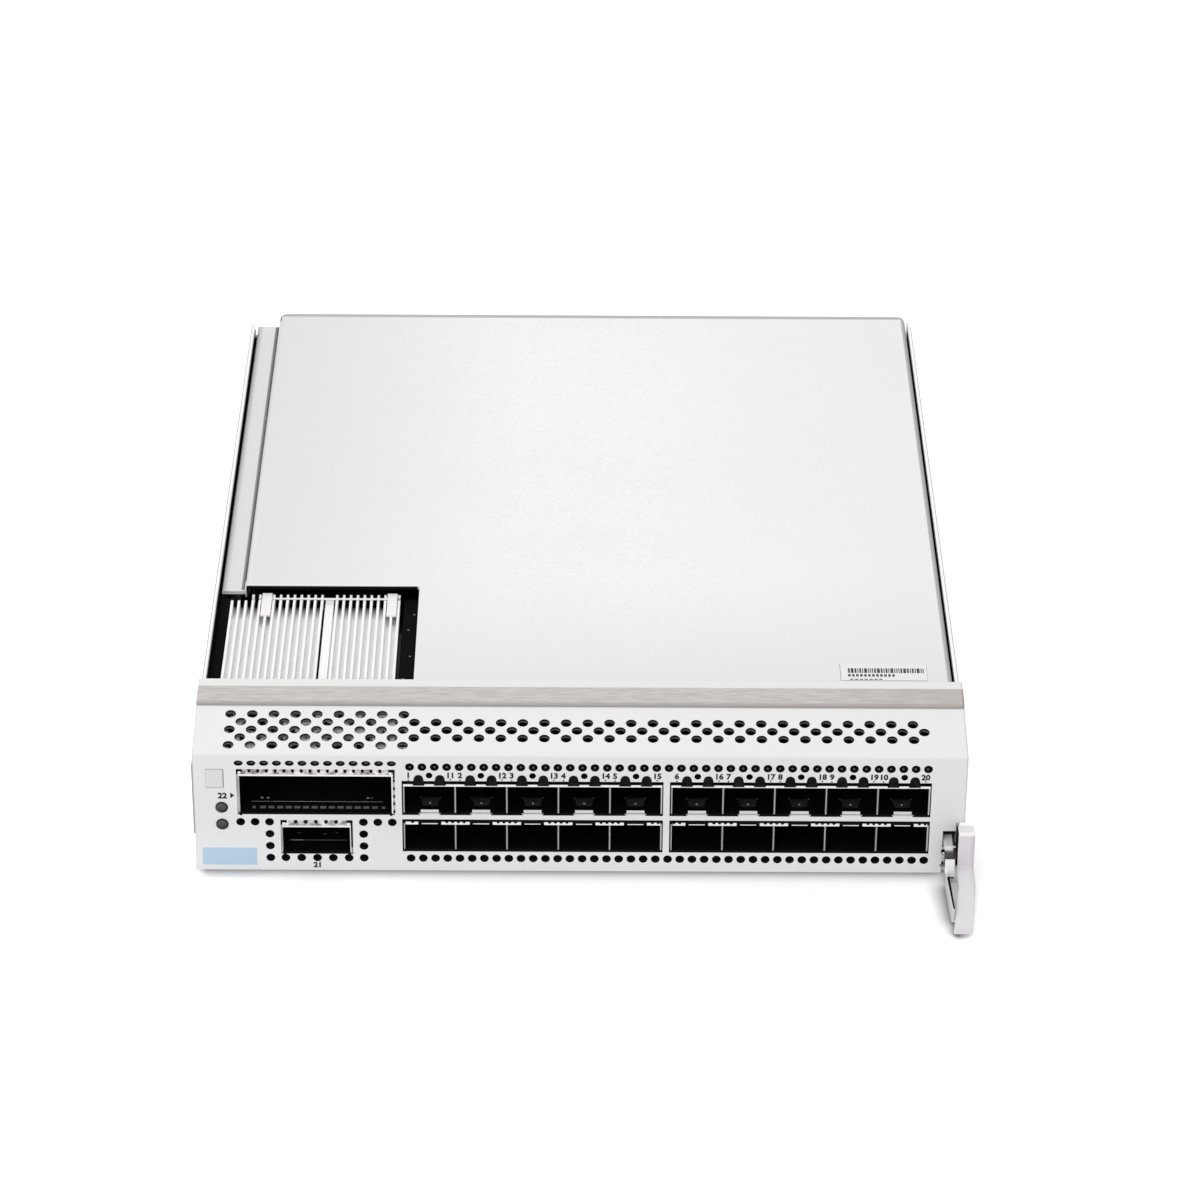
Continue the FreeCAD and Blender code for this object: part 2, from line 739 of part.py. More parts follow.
def make_top_cover():
    body = new_body("cover_body", ("cover_left", "front_y + cover_front", "0"))
    profile = new_sketch(body, "cover_profile", "XZ_Plane")
    skirt_bottom = "cover_top - cover_skirt"
    add_loop(profile, [
        ("0", skirt_bottom),
        ("0", "ledge_top"),
        ("ledge_width", "ledge_top"),
        ("ledge_width", "cover_top"),
        ("cover_width", "cover_top"),
        ("cover_width", skirt_bottom),
        ("cover_width - cover_thick", skirt_bottom),
        ("cover_width - cover_thick", "cover_under"),
        ("ledge_width + cover_thick", "cover_under"),
        ("ledge_width + cover_thick", "ledge_top - cover_thick"),
        ("cover_thick", "ledge_top - cover_thick"),
        ("cover_thick", skirt_bottom),
    ])
    pad(body, profile, "cover_sheet", "cover_rear - cover_front", backwards=True)
    bends = [("cover_bends", "ledge_width", "cover_top", "cover_bend"),
             ("cover_right_bend", "cover_width", "cover_top", "cover_bend"),
             ("ledge_bends", "0", "ledge_top", "ledge_bend")]
    for name, x, z, radius in bends:
        round_edges(body, name, "y", [Vector(number(x), 0, number(z))], radius)
    rear_lip = box(
        "cover_rear_fold",
        ("cover_width - ledge_width - 2 * cover_corner - 2 * cover_thick", "cover_thick",
         "cover_rear_lip - cover_thick / 2"),
        ("cover_left + ledge_width + cover_corner + cover_thick", "front_y + cover_rear - cover_thick",
         "cover_top - cover_rear_lip"),
    )
    sheet_part = fuse("cover_folded", [body, rear_lip])
    window_left = "(cover_left - cover_thick)"
    window_front = "front_y + cover_front - cover_thick"
    window_width = f"(window_right_x - {window_left})"
    window_depth = "(window_rear - cover_front + cover_thick)"
    rooms = [
        box("sink_window", (window_width, f"{window_depth} - window_corner", "flange_top"),
            (window_left, window_front, "0")),
        box("sink_window_rear", (f"{window_width} - window_corner", window_depth, "flange_top"),
            (window_left, window_front, "0")),
        cylinder("sink_window_corner", "window_corner", "flange_top",
                 ("window_right_x - window_corner", "front_y + window_rear - window_corner", "0"), "Z"),
        box("ledge_front_trim",
            ("ledge_width + cover_thick", "2 * ledge_front_gap", "ledge_top + cover_thick"),
            (window_left, "front_y + window_rear - ledge_front_gap", "0")),
        box("skirt_front_trim", ("2 * cover_thick", "skirt_front_gap", "ledge_top - cover_thick"),
            (window_left, "front_y + window_rear", "0")),
        box("ledge_rear_trim", ("ledge_width + cover_thick", "2 * ledge_rear_gap", "ledge_top + cover_thick"),
            (window_left, "front_y + card_depth - ledge_rear_gap", "0")),
    ]
    cut_sheet = cut("cover_cut", sheet_part, [fuse("cover_rooms", rooms)])
    corners = [
        rear_corner("left", "cover_left + ledge_width", ""),
        rear_corner("right", "cover_left + cover_width", "-"),
    ]
    return node(cut("cover_rounded", cut_sheet, corners), "top_cover")


def rear_corner(side, x, sign):
    """Plug that takes the point off a rear corner of the cover."""
    body = new_body(f"cover_corner_{side}", (x, "front_y + cover_rear", "0"))
    sketch = new_sketch(body, f"cover_corner_{side}_plan", "XY_Plane")
    steps = [("0", "-1"), ("1 - cos(30 deg)", "-1 / 2"), ("1 / 2", "cos(30 deg) - 1"), ("1", "0")]
    arc = [(f"{sign}({u}) * cover_corner", f"({v}) * cover_corner") for u, v in steps]
    over = "cover_thick"
    outer = [(f"{sign}cover_corner", over), (f"-({sign}{over})", over), (f"-({sign}{over})", "-cover_corner")]
    add_loop(sketch, arc + outer)
    pad(body, sketch, f"cover_corner_{side}_plug", "flange_top")
    return body


def make_gaskets():
    body = new_body("gasket_strip", ("face_left", "front_y", "0"))
    profile = new_sketch(body, "gasket_profile", "YZ_Plane")
    front = "slope_depth + gasket_gap"
    top = "shelf_top + gasket_height"
    add_loop(profile, [
        (front, "shelf_top"),
        ("joggle_front - gasket_gap", "shelf_top"),
        ("flange_front - 5 / 2 * gasket_gap", "flange_top - gasket_gap"),
        ("flange_front - 5 / 2 * gasket_gap", "flange_top + gasket_lap"),
        ("joggle_front - gasket_edge", top),
        (f"{front} + gasket_roll", f"{top} - gasket_gap"),
        (f"{front} + gasket_roll / 5", "shelf_top + 2 * gasket_edge"),
        (front, "shelf_top + gasket_edge"),
    ])
    pad(body, profile, "gasket_roll_pad", "face_width")
    node(body, "top_gasket")
    strip = box(
        "side_strip",
        ("side_gasket_thick", "side_gasket_depth", "side_gasket_height"),
        ("pan_left - side_gasket_thick", "front_y + panel_thick", "side_gasket_bottom"),
    )
    node(strip, "side_gasket")


# Board and what stands on it

def make_board():
    board = box(
        "board",
        ("board_width", "board_depth", "board_thick"),
        ("-board_width / 2", "front_y + board_front", "board_height"),
    )
    pipe_room = box(
        "board_pipe_room",
        ("status_pipe_x + status_pipe_radius + board_notch_gap - face_left",
         "status_pipe_length + board_notch_gap", "3 * board_thick"),
        ("face_left", "front_y", "board_height - board_thick"),
    )
    node(cut("board_cut", board, [pipe_room]), "main_board")
    posts = []
    heads = []
    rows = ["standoff_front", "(standoff_front + standoff_rear) / 2", "standoff_rear"]
    for index, depth in enumerate(rows):
        for side, sign in (("left", "-"), ("right", "")):
            spot = (f"{sign}standoff_x", f"front_y + {depth}")
            posts.append(prism(f"standoff_{side}_{index}", 6, "standoff_radius",
                               "board_height - pan_thick", (*spot, "pan_thick")))
            heads.append(prism(f"screw_{side}_{index}", 6, "screw_radius",
                               "screw_head", (*spot, "board_top")))
    node(group("standoffs", posts), "board_standoffs")
    node(group("screws", heads), "board_screws")


def board_z(face, rise, height):
    """Bottom of something that stands off one face of the board."""
    if face == "upper":
        return f"board_top + {rise}"
    return f"board_height - {rise} - {height}"


def slotted_plug(name, face, x, front, width, depth, height):
    """Board connector with the slot that takes a module's edge."""
    body = box(
        name + "_body",
        (width, depth, height),
        (f"{x} - {width} / 2", f"front_y + {front}", board_z(face, "0", height)),
    )
    slot_rise = f"({height} - plug_slot_height) / 2"
    slot = box(
        name + "_slot",
        (f"{width} - 2 * plug_slot_margin", "2 * plug_slot_depth", "plug_slot_height"),
        (f"{x} - {width} / 2 + plug_slot_margin", f"front_y + {front} - plug_slot_depth",
         board_z(face, slot_rise, "plug_slot_height")),
    )
    return cut(name, body, [slot])


def cage_plates(name, face, x, columns, pitch, height):
    """Top, floor, rear and upright plates of a cage on one face of the board."""
    width = f"({columns} * {pitch} + cage_plate)"
    left = f"{x} - {width} / 2"
    front = "front_y + cage_front"
    wall_height = f"({height} - 2 * cage_plate)"
    plates = [
        box(name + "_lid", (width, "sfp_depth", "cage_plate"),
            (left, front, board_z(face, f"({height} - cage_plate)", "cage_plate"))),
        box(name + "_floor", (width, "sfp_floor_depth", "cage_plate"),
            (left, front, board_z(face, "0", "cage_plate"))),
        box(name + "_rear", (width, "cage_plate", f"({height} - cage_plate)"),
            (left, f"{front} + sfp_depth - cage_plate", board_z(face, "0", f"({height} - cage_plate)"))),
    ]
    for index in range(round(number(columns)) + 1):
        plates.append(box(f"{name}_upright_{index}", ("cage_plate", "sfp_depth - cage_plate", wall_height),
                          (f"{left} + {index} * {pitch}", front, board_z(face, "cage_plate", wall_height))))
    return group(name + "_plates", plates)


def make_small_ports():
    for face in ("upper", "lower"):
        plugs = []
        for side, centre in (("left", "sfp_left_x"), ("right", "sfp_right_x")):
            name = f"sfp_cage_{face}_{side}"
            node(cage_plates(name, face, centre, "sfp_columns", "sfp_pitch", "sfp_height"), name)
            for column in range(round(number("sfp_columns"))):
                x = f"{centre} + ({column} - (sfp_columns - 1) / 2) * sfp_pitch"
                plugs.append(slotted_plug(f"sfp_plug_{face}_{side}_{column}", face, x,
                                          "sfp_floor_depth + cage_front + fit_gap", "sfp_plug_width",
                                          "sfp_plug_depth", "sfp_plug_height"))
        node(group(f"sfp_plugs_{face}", plugs), f"sfp_connectors_{face}")


def make_quad_port():
    node(cage_plates("qsfp_cage", "lower", "line_port_x", "1", "(qsfp_width - cage_plate)", "qsfp_height"),
         "qsfp_cage")
    plug = slotted_plug("qsfp_plug", "lower", "line_port_x", "sfp_floor_depth + cage_front + fit_gap",
                        "qsfp_plug_width", "sfp_plug_depth", "qsfp_plug_height")
    node(plug, "qsfp_connector")


def make_line_port():
    left = "line_port_x - cfp2_width / 2"
    front = "front_y + cage_front"
    wall_size = ("cfp2_wall", "cfp2_depth", "cfp2_height - cfp2_wall")
    walls = [
        box("cfp2_wall_left", wall_size, (left, front, "board_top")),
        box("cfp2_wall_right", wall_size, (f"{left} + cfp2_width - cfp2_wall", front, "board_top")),
    ]
    lid = box("cfp2_lid_sheet", ("cfp2_width", "cfp2_depth", "cfp2_wall"),
              (left, front, "cfp2_top - cfp2_wall"))
    window = box("cfp2_lid_window", ("cfp2_window_width", "cfp2_window_depth", "3 * cfp2_wall"),
                 ("line_port_x - cfp2_window_width / 2", "front_y + cfp2_window_front",
                  "cfp2_top - 2 * cfp2_wall"))
    node(group("cfp2_plates", walls + [cut("cfp2_lid", lid, [window])]), "cfp2_cage")
    plug = slotted_plug("cfp2_plug", "upper", "line_port_x", "cfp2_depth - cfp2_plug_depth",
                        "cfp2_plug_width", "cfp2_plug_depth", "cfp2_plug_height")
    node(plug, "cfp2_connector")


def finned_sink(name, corner, size, base, base_depth, fin_thick, fin_height, fin_rows):
    """Extruded heat sink: a base plate with rows of fins along Y."""
    width, depth = size
    body = new_body(name + "_body", corner)
    plate = new_sketch(body, name + "_plate", "XZ_Plane")
    add_loop(plate, rectangle("0", "0", width, base))
    pad(body, plate, name + "_base", base_depth, backwards=True)
    for index, (start, pitch, count) in enumerate(fin_rows):
        sketch = new_sketch(body, f"{name}_fin_{index}", "XZ_Plane")
        add_loop(sketch, rectangle(start, base, fin_thick, fin_height))
        fin = pad(body, sketch, f"{name}_first_{index}", depth, backwards=True)
        repeat(body, fin, sketch, f"{name}_fins_{index}", pitch, count)
    return body


def make_riding_sink():
    front = "front_y + sink_front"
    fins = finned_sink(
        "line_sink",
        ("sink_left", front, "sink_bottom"),
        ("sink_width", "sink_depth"),
        "sink_base",
        "sink_base_depth",
        "fin_thick",
        "fin_height",
        [("0", "fin_pitch", "fins_left"), ("fins_right_start", "fin_pitch", "fins_right")],
    )
    rib = box("line_sink_rib", ("rib_width", "sink_depth", "fin_height - rib_drop"),
              ("rib_left", front, "sink_floor"))
    pedestal = box(
        "line_sink_pedestal",
        ("cfp2_window_width - 2 * pedestal_gap", "cfp2_window_depth - 2 * pedestal_gap", "sink_pedestal"),
        ("line_port_x - cfp2_window_width / 2 + pedestal_gap",
         "front_y + cfp2_window_front + pedestal_gap", "sink_bottom - sink_pedestal"),
    )
    short_end = box(
        "short_fin_room",
        ("(short_fins - 1) * fin_pitch + 3 / 2 * fin_thick", "2 * short_fin_step", "3 * fin_height"),
        ("sink_left - fin_thick / 2", "front_y + sink_rear - short_fin_step", "sink_floor - fin_height"),
    )
    rod_y = "front_y + sink_rear - clip_rod_inset"
    groove = box(
        "clip_groove_room",
        ("sink_width + 2 * fin_thick", "clip_groove", "2 * clip_groove"),
        ("sink_left - fin_thick", f"{rod_y} - clip_groove / 2", "fin_top - clip_groove"),
    )
    solid = fuse("line_sink_solid", [fins, rib, pedestal])
    node(cut("line_sink_cut", solid, [fuse("line_sink_rooms", [short_end, groove])]), "cfp2_heat_sink")

    clip_left = "(sink_left + clip_left)"
    clip_width = f"(sink_left + sink_width - clip_right - {clip_left})"
    parts = [cylinder("clip_rod", "clip_rod_radius", clip_width,
                      (clip_left, rod_y, "fin_top"), "X")]
    for side, x in (("left", clip_left), ("right", f"{clip_left} + {clip_width} - clip_tongue_width")):
        parts.append(box(f"clip_tongue_{side}",
                         ("clip_tongue_width", "clip_tongue_depth", "clip_tongue_thick"),
                         (x, "front_y + sink_rear - clip_tongue_depth", "fin_top")))
    node(fuse("clip", parts), "heat_sink_clip")

    retainer = box("retainer", ("retainer_thick", "retainer_depth", "retainer_height"),
                   ("line_port_x + cfp2_width / 2 - retainer_thick", "front_y + retainer_front", "cfp2_top"))
    node(retainer, "heat_sink_retainer")


def make_light_pipes():
    combs = []
    for side, centre in (("left", "sfp_left_x"), ("right", "sfp_right_x")):
        left = f"{centre} - sfp_columns / 2 * sfp_pitch"
        body = new_body(f"pipes_{side}", (left, "front_y", "sfp_top"))
        sketch = new_sketch(body, f"pipes_{side}_sketch", "XZ_Plane")
        for sign in "-+":
            add_loop(sketch, pipe_outline(f"sfp_pitch / 2 {sign} pipe_spread", "0"))
        pair = pad(body, sketch, f"pipes_{side}_pair", "pipe_length", backwards=True)
        repeat(body, pair, sketch, f"pipes_{side}_row", "sfp_pitch", "sfp_columns")
        bar = box(f"pipe_bar_{side}", ("sfp_columns * sfp_pitch", "pipe_bar_depth", "pipe_shoulder"),
                  (left, "front_y + pipe_length - pipe_bar_depth", "sfp_top"))
        combs.append(fuse(f"pipe_comb_{side}", [body, bar]))
    node(group("pipe_combs", combs), "port_light_pipes")
    lamps = []
    for index in range(2):
        height = f"status_pipe_z + {index} * status_pipe_pitch"
        lamps.append(cylinder(f"status_pipe_{index}", "status_pipe_radius", "status_pipe_length",
                              ("status_pipe_x", "front_y - status_pipe_stand", height), "Y"))
    node(group("status_pipes", lamps), "status_light_pipes")


def make_board_parts():
    chip = box("framer", ("framer_width", "framer_width", "framer_thick"),
               ("framer_x - framer_width / 2", "front_y + framer_front", "board_top"))
    node(chip, "framer_chip")
    sink_left = "framer_x - framer_sink_width / 2"
    sink_front = "front_y + framer_front + framer_width / 2 - framer_sink_width / 2"
    fin_height = "(cover_under - framer_sink_top_gap - framer_sink_bottom - framer_sink_base)"
    sink = finned_sink(
        "framer_sink",
        (sink_left, sink_front, "framer_sink_bottom"),
        ("framer_sink_width", "framer_sink_width"),
        "framer_sink_base",
        "framer_sink_width",
        "framer_fin_thick",
        fin_height,
        [("0", "framer_fin_pitch", "framer_fins")],
    )
    node(sink, "framer_heat_sink")
    bricks = []
    for index in range(2):
        bricks.append(box(f"power_{index}", ("power_width", "power_depth", "power_height"),
                          ("power_x - power_width / 2", f"front_y + power_front + {index} * power_pitch",
                           "board_top")))
    node(group("power_bricks", bricks), "power_modules")
    blocks = []
    for index in (-1, 0, 1):
        blocks.append(box(f"plane_block_{index + 1}", ("plane_width", "plane_depth", "plane_height"),
                          (f"{index} * plane_pitch - plane_width / 2", "front_y + plane_front", "board_top")))
    node(group("plane_blocks", blocks), "backplane_connectors")
    guides = []
    for side, sign in (("left", "-"), ("right", "")):
        rear = "front_y + card_depth - plane_rear_gap"
        block = box(f"guide_block_{side}", ("guide_width", "guide_depth", "guide_height"),
                    (f"{sign}guide_x - guide_width / 2", f"{rear} - guide_depth", "board_top"))
        bore = cylinder(f"guide_bore_{side}", "guide_bore", "guide_depth",
                        (f"{sign}guide_x", f"{rear} - guide_depth / 2", "board_top + guide_height / 2"), "Y")
        guides.append(cut(f"guide_{side}", block, [bore]))
    node(group("guides", guides), "guide_sockets")


# Ejector

def make_ejector():
    tip_y = "(front_y - lever_length)"
    root_rear = "(lever_length - lever_rear_gap)"
    root_front = f"({root_rear} - lever_root_depth)"
    side = new_body("lever_side", ("lever_tip_left", tip_y, "0"))
    profile = new_sketch(side, "lever_side_profile", "YZ_Plane")
    add_loop(profile, [
        ("0", "lever_tip_bottom"),
        ("0", "lever_tip_top"),
        (root_front, "lever_arm_top"),
        (root_front, "lever_root_top"),
        (f"{root_rear} - lever_root_chamfer", "lever_root_top"),
        (root_rear, "lever_root_top - lever_root_chamfer"),
        (root_rear, "lever_root_bottom"),
        (f"{root_rear} - lever_heel_depth", "lever_heel_bottom"),
    ])
    pad(side, profile, "lever_side_pad", "lever_left + lever_width - lever_tip_left")
    plan = new_body("lever_plan", ("lever_tip_left", tip_y, "0"))
    outline = new_sketch(plan, "lever_plan_outline", "XY_Plane")
    root_left = "lever_left - lever_tip_left"
    bend = "lever_length - lever_bend"
    add_loop(outline, [
        ("0", "0"),
        ("lever_tip_width", "0"),
        (f"{root_left} + lever_width", bend),
        (f"{root_left} + lever_width", "lever_length"),
        (root_left, "lever_length"),
        (root_left, bend),
    ])
    pad(plan, outline, "lever_plan_pad", "2 * lever_root_top")
    bore = cylinder("lever_bore", "pin_radius + pin_gap", "3 * lever_width",
                    ("lever_left - lever_width", "pivot_y", "pivot_height"), "X")
    node(cut("lever_cut", common("lever_form", side, plan), [bore]), "ejector_lever")

    bracket_width = "(lever_left - bracket_gap - bracket_left)"
    parts = [
        cylinder("bracket_nose_round", "bracket_nose", bracket_width,
                 ("bracket_left", "pivot_y", "pivot_height"), "X"),
        box("bracket_arm", (bracket_width, "pivot_front + bracket_rear", "2 * bracket_nose"),
            ("bracket_left", "pivot_y", "pivot_height - bracket_nose")),
        box("bracket_foot", (bracket_width, "bracket_rear - bracket_foot_front", "bracket_top - pan_thick"),
            ("bracket_left", "front_y + bracket_foot_front", "pan_thick")),
    ]
    seat = cylinder("bracket_bore", "pin_radius + pin_seat_gap", f"3 * {bracket_width}",
                    (f"bracket_left - {bracket_width}", "pivot_y", "pivot_height"), "X")
    node(cut("bracket_cut", fuse("bracket_solid", parts), [seat]), "lever_bracket")

    head_left = "bracket_left - pin_head"
    shank = cylinder("pin_shank", "pin_radius", f"lever_left + lever_width - {head_left} - pin_head",
                     (head_left, "pivot_y", "pivot_height"), "X")
    head = cylinder("pin_head_disc", "pin_head_radius", "pin_head",
                    (head_left, "pivot_y", "pivot_height"), "X")
    node(fuse("pin", [shank, head]), "lever_pin")

    blade_body = new_body("leaf_blade", ("leaf_root_left", "front_y - leaf_tip_front", "leaf_bottom"))
    blade_sketch = new_sketch(blade_body, "leaf_blade_plan", "XY_Plane")
    reach = "leaf_tip_front - leaf_root_front"
    lean = "leaf_tip_left - leaf_root_left"
    add_loop(blade_sketch, [
        (lean, "0"),
        (f"{lean} + leaf_thick", "0"),
        ("leaf_thick", reach),
        ("0", reach),
    ])
    pad(blade_body, blade_sketch, "leaf_blade_pad", "leaf_height")
    tab = box("leaf_tab", ("leaf_tab_width", "leaf_tab_thick", "leaf_tab_height"),
              ("leaf_root_left", "front_y - leaf_root_front - leaf_tab_thick", "leaf_tab_bottom"))
    node(fuse("leaf", [blade_body, tab]), "release_leaf")


make_faceplate()
make_base_pan()
make_top_cover()
make_gaskets()
make_board()
make_small_ports()
make_quad_port()
make_line_port()
make_riding_sink()
make_light_pipes()
make_board_parts()
make_ejector()
doc.recompute()

faults = [f"{thing.Name}: {thing.State}" for thing in doc.Objects
          if "Invalid" in thing.State or "Error" in thing.State]
for thing in nodes:
    if thing.Shape.isNull() or not thing.Shape.isValid() or not thing.Shape.Solids:
        faults.append(f"{thing.Label}: bad shape")
if faults:
    raise RuntimeError("; ".join(faults))

os.makedirs("parts", exist_ok=True)
for thing in nodes:
    thing.Shape.exportStep(f"parts/{thing.Label}.step")
print(len(nodes), "sub-parts written")
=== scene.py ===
import math
import bmesh
import bpy
from mathutils import Matrix, Vector


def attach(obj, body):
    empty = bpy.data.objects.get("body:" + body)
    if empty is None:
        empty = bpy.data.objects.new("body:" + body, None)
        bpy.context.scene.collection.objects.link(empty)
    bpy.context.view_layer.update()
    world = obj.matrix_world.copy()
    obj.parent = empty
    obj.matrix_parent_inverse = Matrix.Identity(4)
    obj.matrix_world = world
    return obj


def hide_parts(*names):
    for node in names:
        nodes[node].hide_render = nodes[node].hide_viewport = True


# Lengths here are millimetres: X from the middle, Y from the front face, Z from the pan's underside.
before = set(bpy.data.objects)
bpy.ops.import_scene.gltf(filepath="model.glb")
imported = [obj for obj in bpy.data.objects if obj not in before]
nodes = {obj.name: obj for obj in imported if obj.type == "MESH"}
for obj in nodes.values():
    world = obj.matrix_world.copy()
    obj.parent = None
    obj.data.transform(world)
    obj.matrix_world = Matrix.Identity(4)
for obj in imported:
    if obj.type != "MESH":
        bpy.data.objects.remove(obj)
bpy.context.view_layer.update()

MM = 0.001
FRONT_Y = -128.0
TO_ROW = Matrix.Translation((0, FRONT_Y * MM, 0)) @ Matrix.Scale(MM, 4)

# Folded faceplate
FACE_HALF = 106.7
FACE_HEIGHT = 38.0
SHEET = 1.2
SLOPE_DEPTH = 18.75
SLOPE_RISE = 4.1
SHELF_END = 25.55
FLANGE_START = 26.85
FLANGE_END = 30.65
FLANGE_RISE = 1.5
SHELF_TOP = FACE_HEIGHT + SLOPE_RISE
FLANGE_TOP = SHELF_TOP + FLANGE_RISE
FOLD_RADIUS = 0.8
SLOPE_ANGLE = math.atan2(SLOPE_RISE, SLOPE_DEPTH)
SLOPE_LENGTH = math.hypot(SLOPE_RISE, SLOPE_DEPTH)
NOTCH_LEFT = 100.76
NOTCH_STEP_TOP = 13.9
NOTCH_STEP_RIGHT = 104.3
NOTCH_TOP = 16.7

# Small ports, in two groups of two rows
PORTS_IN_ROW = 5
PORT_PITCH = 14.25
GROUP_CENTRES = (-13.12, 60.9)
GROUP_HALF = 36.125
GROUP_INSET = 0.3
UPPER_FLOOR = 18.6
UPPER_CUT_TOP = 29.65
LOWER_CUT_TOP = 17.0
LOWER_FLOOR = 6.5
CUT_DROP = 0.15
TAB_HALF = 2.5
TAB_FOOT_HALF = 3.0

# Light pipes over the upper ports; the steps are half widths and heights
PIPE_SPREAD = 2.95
PIPE_HOLE_RADIUS = 1.4
PIPE_HOLE_Z = 29.95
PIPE_STEPS = ((1.6, 28.15), (1.55, 28.9), (1.2, 29.6))
PIPE_DOME_Z = 30.36
PIPE_DOME_RADIUS = 1.27

# Large ports; the cuts are half width, bottom and top
LINE_X = -73.0
LINE_CUT = (21.75, 18.45, 33.3)
QUAD_CUT = (10.0, 5.4, 16.55)

# Vents and lamp holes
VENT_RADIUS = 1.24
ROW_START = -46.95
ROW_PITCH = 3.4
ROW_COUNT = 43
UPPER_ROW_Z = 34.2
LOWER_ROW_Z = 4.1
PORT_VENT_Z = 31.46
PORT_VENT_RADIUS = 0.95
LINE_VENT_PITCH = 3.51
LINE_VENT_COUNT = 13
LINE_VENT_Z = 35.25
LINE_VENT_RADIUS = 1.26
LINE_VENT_FLAT = 0.68
QUAD_COLUMN_X = 13
QUAD_COLUMN_PITCH = 3.95
QUAD_SIDE_XS = (17, 21)
QUAD_SIDE_Z = 15.95
QUAD_UNDER_PITCH = 4.4
LAMP_X = -99.0
LAMP_HEIGHTS = (15.1, 20.65)
LAMP_HOLE_RADIUS = 1.65
SLOPE_VENT_LEFT = -96.94
SLOPE_VENT_PITCH = 6.0
SLOPE_VENT_RADIUS = 1.5
SLOPE_ROW_START = 3.8
SLOPE_ROW_PITCH = 3.04
SLOPE_ROW_COUNTS = (9, 32, 33, 32, 9)

# Cover, window and heat sink
COVER_TOP = 42.4
GAP_FRONT = 31
WALL_REAR = 249.8
WINDOW_RIGHT = -46.9
SHADE_SHEET_TOP = 37.9
LEDGE_LINE_Z = 39.62
LEDGE_SHADE_LEFT = -98.75
SINK_FRONT = 22.6
FIN_SHADE_START = 73.5
FIN_FLOOR_REAR = 80.5


def around(middle, half):
    """Span of a given half width about a place."""
    return middle - half, middle + half


def mirrored(side, first, second):
    """Span along X on the left (-1) or right (1) side."""
    return sorted((side * first, side * second))


# Materials

CLOUD_SCALE = 14.0
CLOUD_DETAIL = 3.0
ROUGHNESS_SPREAD = 0.06
COOL = (0.998, 1.0, 1.008)
LILAC = (1.0, 0.985, 1.02)
SAND = (1.0, 0.94, 0.9)
ROSE = (1.0, 0.985, 0.985)


def grey(value, tint=(1.0, 1.0, 1.0)):
    return tuple(value * t for t in tint) + (1.0,)


def surface(name, colour, roughness, metallic=0.0, speckle=0.03, grain=900.0, stretch=(1, 1, 1),
            bump=0.0, bump_size=0.00002, detail=4.0, cloud=0.0, shine=0.5, soft=0.2):
    """Shader with a grained colour and roughness laid on in object space."""
    material = bpy.data.materials.new(name)
    material.use_nodes = True
    tree = material.node_tree
    shader = tree.nodes["Principled BSDF"]
    shader.inputs["Metallic"].default_value = metallic
    shader.inputs["Specular IOR Level"].default_value = shine
    where = tree.nodes.new("ShaderNodeTexCoord")
    mapping = tree.nodes.new("ShaderNodeMapping")
    mapping.inputs["Scale"].default_value = stretch
    tree.links.new(where.outputs["Object"], mapping.inputs["Vector"])
    noise = tree.nodes.new("ShaderNodeTexNoise")
    noise.inputs["Scale"].default_value = grain
    noise.inputs["Detail"].default_value = detail
    tree.links.new(mapping.outputs["Vector"], noise.inputs["Vector"])
    ramp = tree.nodes.new("ShaderNodeValToRGB")
    ramp.color_ramp.elements[0].position = 0.5 - soft
    ramp.color_ramp.elements[1].position = 0.5 + soft
    ramp.color_ramp.elements[0].color = tuple(c * (1 - speckle) for c in colour[:3]) + (1.0,)
    ramp.color_ramp.elements[1].color = tuple(min(1.0, c * (1 + speckle)) for c in colour[:3]) + (1.0,)
    tree.links.new(noise.outputs["Fac"], ramp.inputs["Fac"])
    colour_out = ramp.outputs["Color"]
    if cloud:
        large = tree.nodes.new("ShaderNodeTexNoise")
        large.inputs["Scale"].default_value = CLOUD_SCALE
        large.inputs["Detail"].default_value = CLOUD_DETAIL
        tree.links.new(where.outputs["Object"], large.inputs["Vector"])
        spread = tree.nodes.new("ShaderNodeMapRange")
        spread.inputs["From Min"].default_value = 0.3
        spread.inputs["From Max"].default_value = 0.7
        spread.inputs["To Min"].default_value = 1 - cloud
        spread.inputs["To Max"].default_value = 1 + cloud
        tree.links.new(large.outputs["Fac"], spread.inputs["Value"])
        mix = tree.nodes.new("ShaderNodeMix")
        mix.data_type = "RGBA"
        mix.blend_type = "MULTIPLY"
        mix.inputs["Factor"].default_value = 1.0
        tree.links.new(colour_out, mix.inputs["A"])
        tree.links.new(spread.outputs["Result"], mix.inputs["B"])
        colour_out = mix.outputs["Result"]
    tree.links.new(colour_out, shader.inputs["Base Color"])
    rough = tree.nodes.new("ShaderNodeMapRange")
    rough.inputs["To Min"].default_value = max(0.05, roughness - ROUGHNESS_SPREAD)
    rough.inputs["To Max"].default_value = min(1.0, roughness + ROUGHNESS_SPREAD)
    tree.links.new(noise.outputs["Fac"], rough.inputs["Value"])
    tree.links.new(rough.outputs["Result"], shader.inputs["Roughness"])
    if bump:
        bumps = tree.nodes.new("ShaderNodeBump")
        bumps.inputs["Strength"].default_value = bump
        bumps.inputs["Distance"].default_value = bump_size
        tree.links.new(noise.outputs["Fac"], bumps.inputs["Height"])
        tree.links.new(bumps.outputs["Normal"], shader.inputs["Normal"])
    return material


